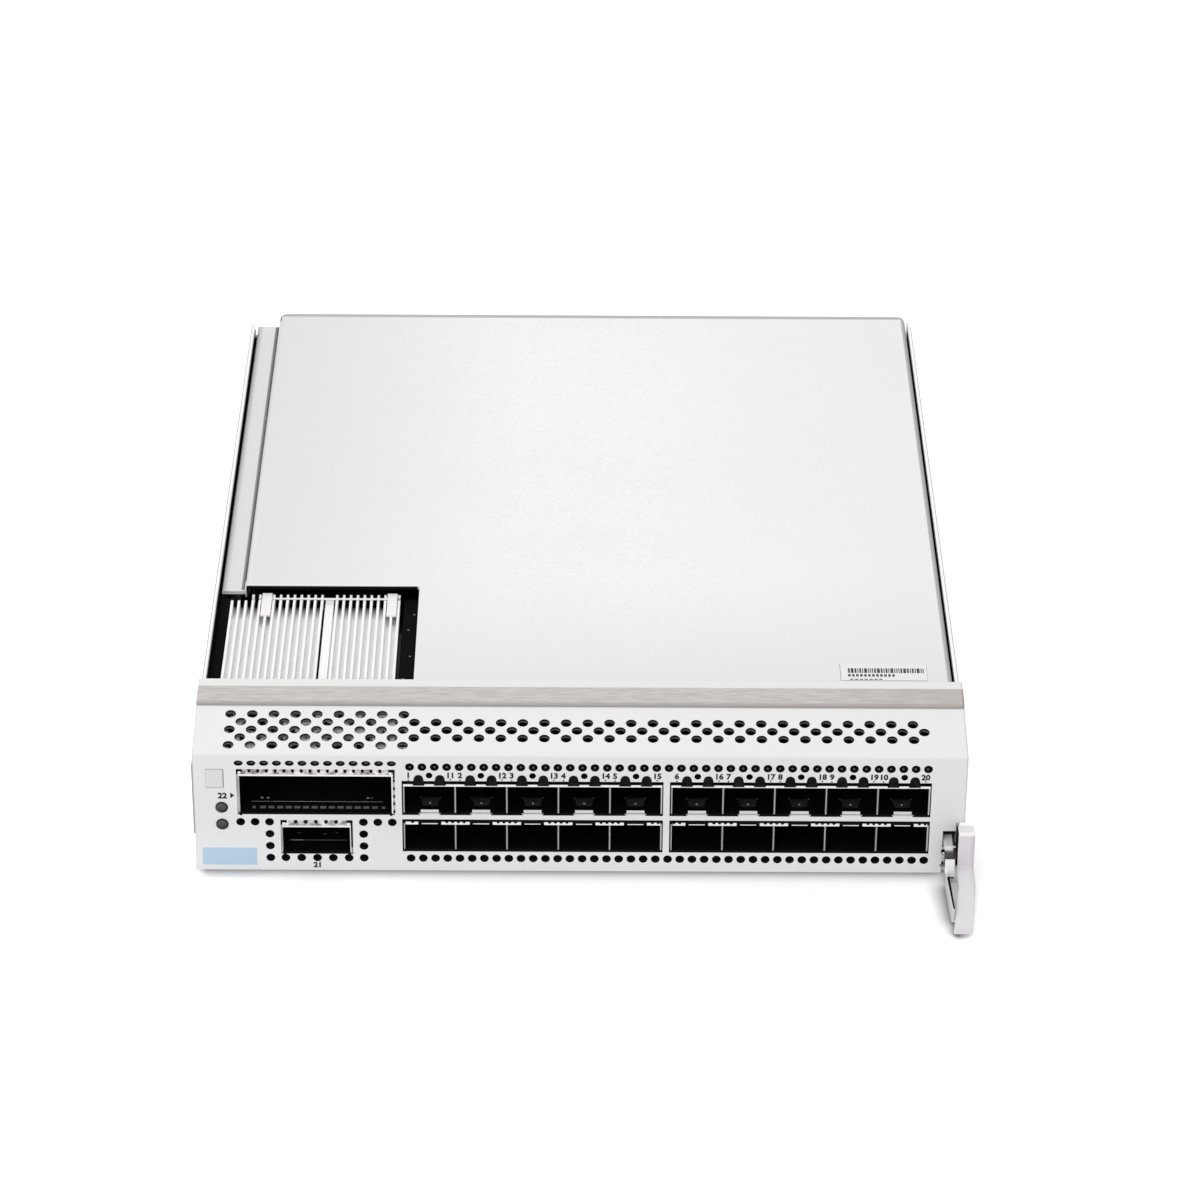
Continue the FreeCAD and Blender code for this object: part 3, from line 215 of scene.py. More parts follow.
def paint_over(material, factor, colour):
    """Mixes a colour over a material's own by a factor from its nodes."""
    tree = material.node_tree
    base = tree.nodes["Principled BSDF"].inputs["Base Color"]
    source = base.links[0].from_socket
    mix = tree.nodes.new("ShaderNodeMix")
    mix.data_type = "RGBA"
    mix.inputs["B"].default_value = colour
    tree.links.new(factor, mix.inputs["Factor"])
    tree.links.new(source, mix.inputs["A"])
    tree.links.new(mix.outputs["Result"], base)
    return material


def fade(material, output, axis, start, end, strength):
    """Factor that grows from one value of a coordinate to another."""
    tree = material.node_tree
    where = tree.nodes.new("ShaderNodeTexCoord")
    axes = tree.nodes.new("ShaderNodeSeparateXYZ")
    tree.links.new(where.outputs[output], axes.inputs["Vector"])
    grow = tree.nodes.new("ShaderNodeMapRange")
    grow.inputs["From Min"].default_value = start
    grow.inputs["From Max"].default_value = end
    grow.inputs["To Max"].default_value = strength
    tree.links.new(axes.outputs[axis], grow.inputs["Value"])
    return grow.outputs["Result"]


def shade_along(material, axis, start, end, colour, strength=1.0):
    """Fades a colour in between two places along X, Y or Z."""
    zero = FRONT_Y if axis == "Y" else 0.0
    factor = fade(material, "Object", axis, (zero + start) * MM, (zero + end) * MM, strength)
    return paint_over(material, factor, colour)


def shade_across(material, direction, place, start, end, colour):
    """Fades a colour in between two distances from a place, along a direction of the part."""
    tree = material.node_tree
    zero = Vector(direction).dot(TO_ROW @ Vector(place))
    where = tree.nodes.new("ShaderNodeTexCoord")
    reach = tree.nodes.new("ShaderNodeVectorMath")
    reach.operation = "DOT_PRODUCT"
    reach.inputs[1].default_value = direction
    tree.links.new(where.outputs["Object"], reach.inputs[0])
    grow = tree.nodes.new("ShaderNodeMapRange")
    grow.inputs["From Min"].default_value = zero + start * MM
    grow.inputs["From Max"].default_value = zero + end * MM
    tree.links.new(reach.outputs["Value"], grow.inputs["Value"])
    return paint_over(material, grow.outputs["Result"], colour)


def shade_facing(material, axis, start, end, colour, strength=1.0):
    """Fades a colour in on the faces that look along an axis of the part."""
    return paint_over(material, fade(material, "Normal", axis, start, end, strength), colour)


SLOPE_UP = Vector((0, math.cos(SLOPE_ANGLE), math.sin(SLOPE_ANGLE)))
SLOPE_OUT = Vector((0, -math.sin(SLOPE_ANGLE), math.cos(SLOPE_ANGLE)))
FOLD = Vector((0, 0, FACE_HEIGHT))

PANEL = surface("panel_paint", grey(0.775, COOL), 0.5, speckle=0.012, grain=2200, bump=0.06)
# Painted light: lighter towards the bottom of the front. Painted shade along the left and right edges.
shade_along(PANEL, "Z", 16, 2, grey(0.86, COOL))
shade_along(PANEL, "X", FACE_HALF - 0.4, FACE_HALF - 0.1, grey(0.38), 0.7)
shade_along(PANEL, "X", 0.3 - FACE_HALF, 0.05 - FACE_HALF, grey(0.4), 0.5)
COVER = surface("cover_zinc", grey(0.87, (0.997, 1.0, 1.01)), 0.5, metallic=0.12, speckle=0.06, grain=1500,
                bump=0.05, cloud=0.02)
# Painted shade: darker towards both sides and the front than in the middle, darker still on the side bends
# and along the rear edge.
shade_along(COVER, "X", -20, -95, grey(0.74))
shade_along(COVER, "X", 20, 95, grey(0.835))
shade_along(COVER, "Y", 90, 34, grey(0.76), 0.9)
shade_along(COVER, "X", -102.6, -104.2, grey(0.42))
shade_along(COVER, "X", 102.9, 103.2, grey(0.46))
shade_along(COVER, "Y", 254.9, 255.5, grey(0.46))
PAN = surface("pan_zinc", grey(0.80, COOL), 0.5, metallic=0.15, speckle=0.05, grain=1500,
              bump=0.05, cloud=0.02)
# Painted highlight: lighter near the top of the walls.
shade_along(PAN, "Z", 41.7, 42.2, grey(0.95))
GASKET = surface("gasket_cloth", grey(0.545, SAND), 0.85, speckle=0.17, grain=700,
                 stretch=(0.25, 3.0, 3.0), bump=0.35, bump_size=0.0001)
# Painted shade: darker along the low front edge, towards the right and at the right end.
shade_along(GASKET, "Y", 19.7, 18.9, grey(0.36, SAND), 0.8)
shade_along(GASKET, "X", 60, 106, grey(0.42, (1.0, 0.93, 0.88)), 0.5)
shade_along(GASKET, "X", 106.1, 106.5, grey(0.2, (1.0, 0.92, 0.87)), 0.8)
BOARD = surface("solder_mask", (0.008, 0.03, 0.018, 1), 0.5, speckle=0.1, grain=600)
STEEL = surface("plain_steel", grey(0.62), 0.38, metallic=0.6, speckle=0.06, grain=1200)
BRACKET = surface("bracket_steel", grey(0.42, ROSE), 0.45, metallic=0.3, speckle=0.06, grain=1200)
# Painted shade on the front faces and the right side; painted light on the faces that look up.
shade_facing(BRACKET, "Y", -0.3, -0.8, grey(0.05))
shade_facing(BRACKET, "Z", 0.75, 0.97, grey(0.97, ROSE))
shade_along(BRACKET, "X", 103.4, 103.5, grey(0.02))
CAGE = surface("cage_tin", grey(0.5, (1.0, 0.98, 0.96)), 0.4, metallic=0.3, speckle=0.06, grain=1400,
               shine=0.2)
# Painted shade: black inside the cages behind their front edges.
shade_along(CAGE, "Y", 0.2, 0.32, grey(0.008))
FINGERS = surface("finger_tin", grey(0.52, (1.0, 0.93, 0.905)), 0.35, metallic=0.3, speckle=0.6, grain=700,
                  soft=0.12)
# Bright tin, also used for painted highlight strips.
BRIGHT = surface("bright_tin_and_highlight", grey(0.9, (1.0, 0.985, 0.975)), 0.35, metallic=0.1, speckle=0.05, grain=1500)
BLACK = surface("black_moulding", grey(0.012), 0.55, speckle=0.3, grain=900, shine=0.2)
GAP = surface("shadow_gap", grey(0.006), 0.9, speckle=0.3, grain=900, shine=0.05)
# Front hole walls: near black as painted shade, a little lighter towards the back as painted light.
FRONT_VENT = surface("front_vent_wall", grey(0.006), 0.8, speckle=0.3, grain=900, shine=0.05)
shade_along(FRONT_VENT, "Y", 0.7, 1.15, grey(0.05))
# Slope vent walls: near black as painted shade, with a painted lit band deeper in the sheet.
VENT = surface("slope_vent_wall", grey(0.012), 0.7, speckle=0.5, grain=700, shine=0.1)
shade_across(VENT, SLOPE_OUT, FOLD, -0.5, -1.1, grey(0.3))
# Painted reflections, seen through the left slope vents.
GLINT = surface("cage_glint", grey(0.42, (1.0, 0.96, 0.92)), 0.5, speckle=1.0, grain=420, shine=0.2,
                soft=0.05)
SINK = surface("extruded_aluminium", grey(0.95), 0.38, metallic=0.08, speckle=0.05, grain=500,
               stretch=(6, 0.4, 2))
SINK_FLOOR = surface("fin_floor", grey(0.97), 0.5, speckle=0.03, grain=500, stretch=(6, 0.4, 2))
# Painted shade: darker towards the rear.
shade_along(SINK_FLOOR, "Y", FIN_SHADE_START, FIN_FLOOR_REAR, grey(0.008))
PIPES = surface("smoked_light_pipe", grey(0.008, (1.0, 0.85, 0.85)), 0.5, speckle=0.5, grain=700, shine=0.04,
                soft=0.1)
LAMP = surface("status_lens", grey(0.075), 0.3, speckle=0.3, grain=800, shine=0.3)
# Painted shade on the lower part of the lenses.
shade_facing(LAMP, "Z", 0.14, -0.2, grey(0.008))
LEVER = surface("lever_paint", grey(0.72, LILAC), 0.45, speckle=0.012, grain=2000, bump=0.05)
# Painted shade towards the tip, on the front faces and along the right side; painted highlights on the left
# faces, along the top and on the faces that look up.
shade_along(LEVER, "Y", -14, -25, grey(0.655, LILAC))
shade_facing(LEVER, "Y", -0.4, -0.8, grey(0.75, (1.0, 0.94, 1.0)))
shade_along(LEVER, "X", 107.9, 109.2, grey(0.5, (1.0, 0.95, 1.0)), 0.7)
shade_facing(LEVER, "X", -0.3, -0.8, grey(0.93))
shade_along(LEVER, "Z", 15.5, 15.8, grey(0.95))
shade_facing(LEVER, "Z", 0.99, 0.999, grey(0.83))
TAB = surface("bright_paint", grey(0.93, (1.0, 0.995, 1.0)), 0.4, speckle=0.02, grain=1500)
LEAF = surface("leaf_paint", grey(1.0, (1.0, 0.995, 1.0)), 0.4, speckle=0.02, grain=1500)
# Painted shade on the left faces; greyer beyond the tab.
shade_facing(LEAF, "X", -0.4, -0.9, grey(0.3))
shade_along(LEAF, "Y", -7.2, -8.2, grey(0.66, (1.0, 0.99, 1.02)))
INK = surface("print_ink", grey(0.025), 0.7, speckle=0.2, grain=1500, shine=0.1)
SKY_LABEL = surface("pale_blue_label", (0.49, 0.65, 0.80, 1), 0.6, speckle=0.02, grain=1500)
WHITE_LABEL = surface("paper_label", grey(0.79), 0.6, speckle=0.015, grain=2000)
LABEL_INK = surface("label_ink", grey(0.07), 0.7, speckle=0.3, grain=1500, shine=0.1)
BADGE = surface("badge_plate", grey(0.71), 0.45, speckle=0.03, grain=1200)
# Painted shade lines beside the ledge and round the badge, paler at the ledge line's left side.
EDGE_SHADE = surface("edge_shade", grey(0.11), 0.7, speckle=0.3, grain=600, shine=0.1)
shade_along(EDGE_SHADE, "X", -97.9, LEDGE_SHADE_LEFT, grey(0.36))
OUTLINE = surface("edge_line", grey(0.35), 0.6, speckle=0.2, grain=900, shine=0.2)
# Dim contacts in the ports, and painted glints behind the vents.
CONTACT_AND_GLINT = surface("dim_contact_and_glint", grey(0.22, (1.0, 0.92, 0.9)), 0.5, speckle=0.2, grain=1500)
CHEEK = surface("cheek_steel", grey(0.36), 0.4, metallic=0.2, speckle=0.45, grain=700, stretch=(4, 1, 0.25),
                soft=0.12)
PLATE = surface("port_plate", grey(0.045), 0.5, speckle=0.4, grain=900, shine=0.2)


def dress(material, names, bevel=0.0, segments=2):
    """Paints CAD nodes and, if asked, softens their edges."""
    for name in names:
        thing = nodes[name]
        thing.data.materials.clear()
        thing.data.materials.append(material)
        if bevel:
            soften(thing, bevel, segments)


def soften(thing, width, segments=2):
    weld = thing.modifiers.new("weld", "WELD")
    weld.merge_threshold = 1e-6
    round_off = thing.modifiers.new("soft_edges", "BEVEL")
    round_off.width = width * MM
    round_off.segments = segments
    round_off.limit_method = "ANGLE"
    round_off.angle_limit = math.radians(35)
    round_off.use_clamp_overlap = True


dress(PAN, ["base_pan"], 0.15)
dress(COVER, ["top_cover"], 0.15)
dress(GASKET, ["top_gasket", "side_gasket"], 0.2)
dress(BOARD, ["main_board"])
dress(STEEL, ["board_standoffs", "board_screws", "guide_sockets"])
dress(STEEL, ["lever_pin"], 0.2)
dress(BRACKET, ["lever_bracket"], 0.2)
dress(LEAF, ["release_leaf"], 0.12)
dress(LEVER, ["ejector_lever"], 0.45, 3)
dress(CAGE, [name for name in nodes if "_cage" in name])
dress(BLACK, ["sfp_connectors_upper", "sfp_connectors_lower", "qsfp_connector", "cfp2_connector",
              "framer_chip", "power_modules", "backplane_connectors"])
dress(SINK, ["cfp2_heat_sink", "framer_heat_sink"])
dress(BRIGHT, ["heat_sink_clip"], 0.12)
dress(BLACK, ["heat_sink_retainer"])
dress(PIPES, ["port_light_pipes"])
dress(LAMP, ["status_light_pipes"], 0.25, 3)


# Pieces drawn here

class Piece:
    """A mesh drawn in millimetres and then set on a body of the card."""

    def __init__(self, name, *materials, body="card"):
        self.name = name
        self.materials = materials
        self.body = body
        self.mesh = bmesh.new()

    def prism(self, points, push):
        """Solid from a flat polygon pushed along a vector."""
        push = Vector(push)
        low = [self.mesh.verts.new(Vector(p)) for p in points]
        high = [self.mesh.verts.new(Vector(p) + push) for p in points]
        self.mesh.faces.new(low)
        self.mesh.faces.new(high)
        for i in range(len(points)):
            j = (i + 1) % len(points)
            self.mesh.faces.new((low[i], low[j], high[j], high[i]))

    def block(self, x, y, z):
        points = [(x[0], y[0], z[0]), (x[1], y[0], z[0]), (x[1], y[0], z[1]), (x[0], y[0], z[1])]
        self.prism(points, (0, y[1] - y[0], 0))

    def front(self, outline, y0, y1):
        """Prism of an (x, z) outline between two depths."""
        self.prism([(x, y0, z) for x, z in outline], (0, y1 - y0, 0))

    def along(self, profile, x0, x1):
        """Prism of a (y, z) profile between two places along X."""
        self.prism([(x0, y, z) for y, z in profile], (x1 - x0, 0, 0))

    def flat(self, outline, z0, z1):
        """Prism of an (x, y) outline between two heights."""
        self.prism([(x, y, z0) for x, y in outline], (0, 0, z1 - z0))

    def dome(self, x, z, radius, base_y, height):
        """Low dome that stands out of the front."""
        rings = []
        for turn in (0, 25, 50, 72):
            reach = radius * math.cos(math.radians(turn))
            y = base_y - height * math.sin(math.radians(turn))
            rings.append([self.mesh.verts.new((px, y, pz)) for px, pz in circle(x, z, reach, 20)])
        for low, high in zip(rings, rings[1:]):
            for i in range(len(low)):
                j = (i + 1) % len(low)
                self.mesh.faces.new((low[i], low[j], high[j], high[i]))
        self.mesh.faces.new(rings[0])
        self.mesh.faces.new(rings[-1])

    def add_mesh(self, mesh, matrix):
        mesh.transform(matrix)
        self.mesh.from_mesh(mesh)
        bpy.data.meshes.remove(mesh)

    def done(self, bevel=0.0, segments=2, smooth=False):
        bmesh.ops.recalc_face_normals(self.mesh, faces=self.mesh.faces[:])
        data = bpy.data.meshes.new(self.name)
        self.mesh.transform(TO_ROW)
        self.mesh.to_mesh(data)
        self.mesh.free()
        if smooth:
            for face in data.polygons:
                face.use_smooth = True
        thing = bpy.data.objects.new(self.name, data)
        bpy.context.scene.collection.objects.link(thing)
        for material in self.materials:
            data.materials.append(material)
        if bevel:
            soften(thing, bevel, segments)
        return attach(thing, self.body)


def circle(x, y, radius, count=20, flat=1.0):
    turns = [2 * math.pi * i / count for i in range(count)]
    return [(x + radius * math.cos(t), y + radius * flat * math.sin(t)) for t in turns]


def arc(x, y, radius, start, end, count):
    turns = [math.radians(start + (end - start) * i / count) for i in range(count + 1)]
    return [(x + radius * math.cos(t), y + radius * math.sin(t)) for t in turns]


def on_ring(x, y, ring):
    """Says if a point lies on the outline of a sheet."""
    point = Vector((x, y))
    for a, b in zip(ring, ring[1:] + ring[:1]):
        start = Vector(a)
        side = Vector(b) - start
        share = min(1.0, max(0.0, (point - start).dot(side) / side.length_squared))
        if (start + side * share - point).length < 0.01:
            return True
    return False


def sheet_with_holes(outline, holes, thick, wall_slot):
    """Flat sheet in its own XY plane, centred on it; the holes' walls take another material slot."""
    curve = bpy.data.curves.new("sheet", "CURVE")
    curve.dimensions = "2D"
    curve.fill_mode = "BOTH"
    curve.extrude = thick / 2
    for ring in [outline] + holes:
        spline = curve.splines.new("POLY")
        spline.points.add(len(ring) - 1)
        for point, (x, y) in zip(spline.points, ring):
            point.co = (x, y, 0, 1)
        spline.use_cyclic_u = True
    thing = bpy.data.objects.new("sheet", curve)
    bpy.context.scene.collection.objects.link(thing)
    view = bpy.context.evaluated_depsgraph_get()
    mesh = bpy.data.meshes.new_from_object(thing.evaluated_get(view))
    bpy.data.objects.remove(thing)
    bpy.data.curves.remove(curve)
    for face in mesh.polygons:
        is_wall = abs(face.normal.z) < 0.3
        if is_wall and not on_ring(face.center.x, face.center.y, outline):
            face.material_index = wall_slot
    return mesh


# Faceplate with round vents

def port_x(centre, index):
    """Middle of a small port of a group, or of a wall beside it for a half index."""
    return centre + (index - (PORTS_IN_ROW - 1) / 2) * PORT_PITCH


PORT_CENTRES = [port_x(centre, i) for centre in GROUP_CENTRES for i in range(PORTS_IN_ROW)]


def rectangle(x0, x1, z0, z1):
    return [(x0, z0), (x1, z0), (x1, z1), (x0, z1)]


def upper_cut(centre):
    """Outline of an upper port opening with its light pipe domes."""
    left = centre - GROUP_HALF
    right = centre + GROUP_HALF
    bottom = UPPER_FLOOR - CUT_DROP
    top = UPPER_CUT_TOP
    ring = [(left, bottom), (right, bottom), (right, top)]
    for i in reversed(range(PORTS_IN_ROW)):
        for side in (1, -1):
            x = port_x(centre, i) + side * PIPE_SPREAD
            ring.append((x + PIPE_HOLE_RADIUS, top))
            ring += arc(x, PIPE_HOLE_Z, PIPE_HOLE_RADIUS, 0, 180, 10)
            ring.append((x - PIPE_HOLE_RADIUS, top))
    ring.append((left, top))
    return ring


def row_vent_places():
    return [ROW_START + ROW_PITCH * i for i in range(ROW_COUNT)]


def line_vent_places():
    middle = (LINE_VENT_COUNT - 1) / 2
    return [LINE_X + LINE_VENT_PITCH * (i - middle) for i in range(LINE_VENT_COUNT)]


def front_holes():
    """Port openings, rows of vents and the two lamp holes of the front."""
    holes = []
    for centre in GROUP_CENTRES:
        left = centre - GROUP_HALF
        right = centre + GROUP_HALF
        holes.append(upper_cut(centre))
        holes.append(rectangle(left, right, LOWER_FLOOR - CUT_DROP, LOWER_CUT_TOP))
    for half, low, top in (LINE_CUT, QUAD_CUT):
        holes.append(rectangle(LINE_X - half, LINE_X + half, low, top))
    holes += [circle(x, PORT_VENT_Z, PORT_VENT_RADIUS, 16) for x in PORT_CENTRES]
    for z in (UPPER_ROW_Z, LOWER_ROW_Z):
        holes += [circle(x, z, VENT_RADIUS) for x in row_vent_places()]
    holes += [circle(x, LINE_VENT_Z, LINE_VENT_RADIUS, 20, LINE_VENT_FLAT) for x in line_vent_places()]
    for side in (-1, 1):
        column = LINE_X + side * QUAD_COLUMN_X
        holes += [circle(column, LOWER_ROW_Z + QUAD_COLUMN_PITCH * i, VENT_RADIUS) for i in range(4)]
        holes += [circle(LINE_X + side * x, QUAD_SIDE_Z, VENT_RADIUS) for x in QUAD_SIDE_XS]
    holes += [circle(LINE_X + QUAD_UNDER_PITCH * (i - 2), LOWER_ROW_Z, VENT_RADIUS) for i in range(5)]
    holes += [circle(LAMP_X, z, LAMP_HOLE_RADIUS, 24) for z in LAMP_HEIGHTS]
    return holes


def slope_holes():
    """Staggered rows of vents; the outer rows stand only over the line port."""
    holes = []
    for row, count in enumerate(SLOPE_ROW_COUNTS):
        left = SLOPE_VENT_LEFT + row % 2 * SLOPE_VENT_PITCH / 2
        up = SLOPE_ROW_START + SLOPE_ROW_PITCH * row
        holes += [circle(left + SLOPE_VENT_PITCH * i, up, SLOPE_VENT_RADIUS, 24) for i in range(count)]
    return holes


def shelf_profile():
    """Shelf behind the slope and the raised flange behind the gasket, as (y, z) points."""
    joggle = math.atan2(FLANGE_RISE, FLANGE_START - SHELF_END)
    shift = SHEET * math.tan(joggle / 2)
    round_start = FOLD_RADIUS * math.tan(joggle / 2)
    crown = arc(FLANGE_START + round_start, FLANGE_TOP - FOLD_RADIUS, FOLD_RADIUS,
                90 + math.degrees(joggle), 90, 6)
    slope_shift = SHEET * math.tan(SLOPE_ANGLE / 2)
    top = [(SLOPE_DEPTH, SHELF_TOP), (SHELF_END, SHELF_TOP)] + crown
    under = [
        (FLANGE_END, FLANGE_TOP),
        (FLANGE_END, FLANGE_TOP - SHEET),
        (FLANGE_START + shift, FLANGE_TOP - SHEET),
        (SHELF_END + shift, SHELF_TOP - SHEET),
        (SLOPE_DEPTH + slope_shift, SHELF_TOP - SHEET),
    ]
    return top + under


def make_faceplate():
    """Front, slope, fold and shelf as one skin in place of the CAD faceplate."""
    skin = Piece("faceplate_skin", PANEL, FRONT_VENT, VENT)
    tangent = FOLD_RADIUS * math.tan((math.pi / 2 - SLOPE_ANGLE) / 2)
    front_top = FACE_HEIGHT - tangent
    outline = [
        (-FACE_HALF, 0),
        (NOTCH_LEFT, 0),
        (NOTCH_LEFT, NOTCH_STEP_TOP),
        (NOTCH_STEP_RIGHT, NOTCH_STEP_TOP),
        (NOTCH_STEP_RIGHT, NOTCH_TOP),
        (FACE_HALF, NOTCH_TOP),
        (FACE_HALF, front_top),
        (-FACE_HALF, front_top),
    ]
    stand = Matrix(((1, 0, 0, 0), (0, 0, -1, SHEET / 2), (0, 1, 0, 0), (0, 0, 0, 1)))
    skin.add_mesh(sheet_with_holes(outline, front_holes(), SHEET, 1), stand)

    up = SLOPE_UP
    out = SLOPE_OUT
    start = FOLD - out * (SHEET / 2)
    lean = Matrix(((1, 0, 0, start.x), (0, up.y, out.y, start.y), (0, up.z, out.z, start.z), (0, 0, 0, 1)))
    outline = rectangle(-FACE_HALF, FACE_HALF, tangent, SLOPE_LENGTH)
    skin.add_mesh(sheet_with_holes(outline, slope_holes(), SHEET, 2), lean)

    fold_turn = 90 - math.degrees(SLOPE_ANGLE)
    fold = arc(FOLD_RADIUS, front_top, FOLD_RADIUS, 180, 180 - fold_turn, 8)
    inner = FACE_HEIGHT + SHEET * math.tan(SLOPE_ANGLE) - SHEET / math.cos(SLOPE_ANGLE)
    low_end = FOLD + up * tangent - out * SHEET
    skin.along(fold + [(low_end.y, low_end.z), (SHEET, inner), (SHEET, front_top)], -FACE_HALF, FACE_HALF)
    skin.along(shelf_profile(), -FACE_HALF, FACE_HALF)
    thing = skin.done()
    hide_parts("faceplate")


make_faceplate()


# Port trim

def pipe_cap(x):
    """Front outline of one light pipe: a foot, a neck and a dome."""
    right = [(x + half, z) for half, z in PIPE_STEPS]
    left = [(x - half, z) for half, z in reversed(PIPE_STEPS)]
    return right + arc(x, PIPE_DOME_Z, PIPE_DOME_RADIUS, 0, 180, 12) + left


def group_span(centre):
    """Left and right ends of the trim of a group of small ports."""
    return centre - GROUP_HALF + GROUP_INSET, centre + GROUP_HALF - GROUP_INSET


def shade_sill(dark, start, end, floor):
    """Dark strip along the front edge of the ports' floor."""
    dark.block((start, end), (0.08, 0.2), (floor - 0.1, floor + 0.45))


def shade_jamb(dark, left, floor, top):
    """Dark strip on the left wall of a group of ports."""
    dark.block((left - 0.25, left + 0.08), (0.0, 0.15), (floor, top - 0.1))


def shade_dividers(dark, centre, low, high):
    """Dark strips that leave only a thin bright line on each wall between ports."""
    strip = (0.2, 0.46)
    for i in range(PORTS_IN_ROW - 1):
        x = port_x(centre, i + 0.5)
        for side in (-1, 1):
            dark.block(sorted(x + side * reach for reach in strip), (0.0, 0.19), (low, high))


def make_upper_trim():
    """Cage lips, light pipe faces, grounding tabs and contacts of the upper ports."""
    lips = Piece("upper_lips", BRIGHT)
    caps = Piece("pipe_faces", PIPES)
    tabs = Piece("port_tabs", TAB)
    feet = Piece("port_tab_feet", PANEL)
    dark = Piece("upper_port_shade", GAP)
    plates = Piece("port_floor_plates", PLATE)
    pins = Piece("port_pins", BRIGHT)
    dots = Piece("port_contacts", CONTACT_AND_GLINT)
    lip_low, lip_top = 27.8, 28.5
    divider_top = lip_low - 0.02
    for centre in GROUP_CENTRES:
        left, right = group_span(centre)
        lips.block((left, right), (0.02, 0.2), (lip_low, lip_top))
        stops = [left]
        for i in range(PORTS_IN_ROW):
            x = port_x(centre, i)
            stops += [x - TAB_FOOT_HALF, x + TAB_FOOT_HALF]
        stops.append(right)
        for start, end in zip(stops[::2], stops[1::2]):
            shade_sill(dark, start, end, UPPER_FLOOR)
        shade_jamb(dark, left, UPPER_FLOOR, UPPER_CUT_TOP)
        shade_dividers(dark, centre, UPPER_FLOOR, divider_top)

    tab_side = [(-0.02, 18.7), (1.2, 19.5), (1.2, 19.2), (0.1, 18.45)]
    foot_low, foot_top = 18.35, 18.78
    plate_front, plate_rear = 4.0, 8.0
    plate_front_half, plate_rear_half = 2.0, 2.75
    plate_low, plate_top = 19.0, 19.03
    contact_z = (plate_top, plate_top + 0.05)
    for x in PORT_CENTRES:
        for side in (-1, 1):
            caps.front(pipe_cap(x + side * PIPE_SPREAD), -0.08, 0.02)
        tabs.along(tab_side, x - TAB_HALF, x + TAB_HALF)
        foot = [(x - TAB_FOOT_HALF, foot_low), (x + TAB_FOOT_HALF, foot_low),
                (x + TAB_HALF, foot_top), (x - TAB_HALF, foot_top)]
        feet.front(foot, -0.04, 0.1)
        plate = [(x - plate_front_half, plate_front), (x + plate_front_half, plate_front),
                 (x + plate_rear_half, plate_rear), (x - plate_rear_half, plate_rear)]
        plates.flat(plate, plate_low, plate_top)
        pins.block(around(x, 0.25), (4.9, 5.5), contact_z)
        for side in (-1, 1):
            dots.block(around(x + side * plate_rear_half, 0.2), (7.8, 8.3), contact_z)
    lips.done(0.08)
    caps.done()
    tabs.done(0.06)
    feet.done()
    dark.done()
    plates.done()
    pins.done()
    dots.done()


def make_lower_trim():
    """Contact fingers over the lower ports: a low bar over each port, a high one over each wall."""
    bars = Piece("lower_fingers", BRIGHT)
    notches = Piece("lower_finger_gaps", GAP)
    dark = Piece("lower_port_shade", GAP)
    bar_depth = (0.0, 0.3)
    for x in PORT_CENTRES:
        bars.block(around(x, 2.25), bar_depth, (15.4, 15.7))
    wall_bar_half = 3.95
    notch_radius = 0.45
    notch_margin = 0.4
    for centre in GROUP_CENTRES:
        group_left, group_right = group_span(centre)
        shade_sill(dark, group_left, group_right, LOWER_FLOOR)
        dark.block((group_left, group_right), (0.06, 0.19), (15.72, 16.6))
        shade_dividers(dark, centre, LOWER_FLOOR, 15.2)
        shade_jamb(dark, group_left, LOWER_FLOOR, LOWER_CUT_TOP)
        for i in range(PORTS_IN_ROW + 1):
            x = port_x(centre, i - 0.5)
            left = x - wall_bar_half if i > 0 else x + 0.4
            right = x + wall_bar_half if i < PORTS_IN_ROW else x - 0.2
            bars.block((left, right), bar_depth, (15.25, 16.2))
            for shift in (-2.4, -0.8, 0.8, 2.4):
                if left < x + shift - notch_margin and x + shift + notch_margin < right:
                    notches.front(arc(x + shift, 16.22, notch_radius, 180, 360, 8), -0.05, 0.1)
    bars.done(0.1)
    notches.done()
    dark.done()


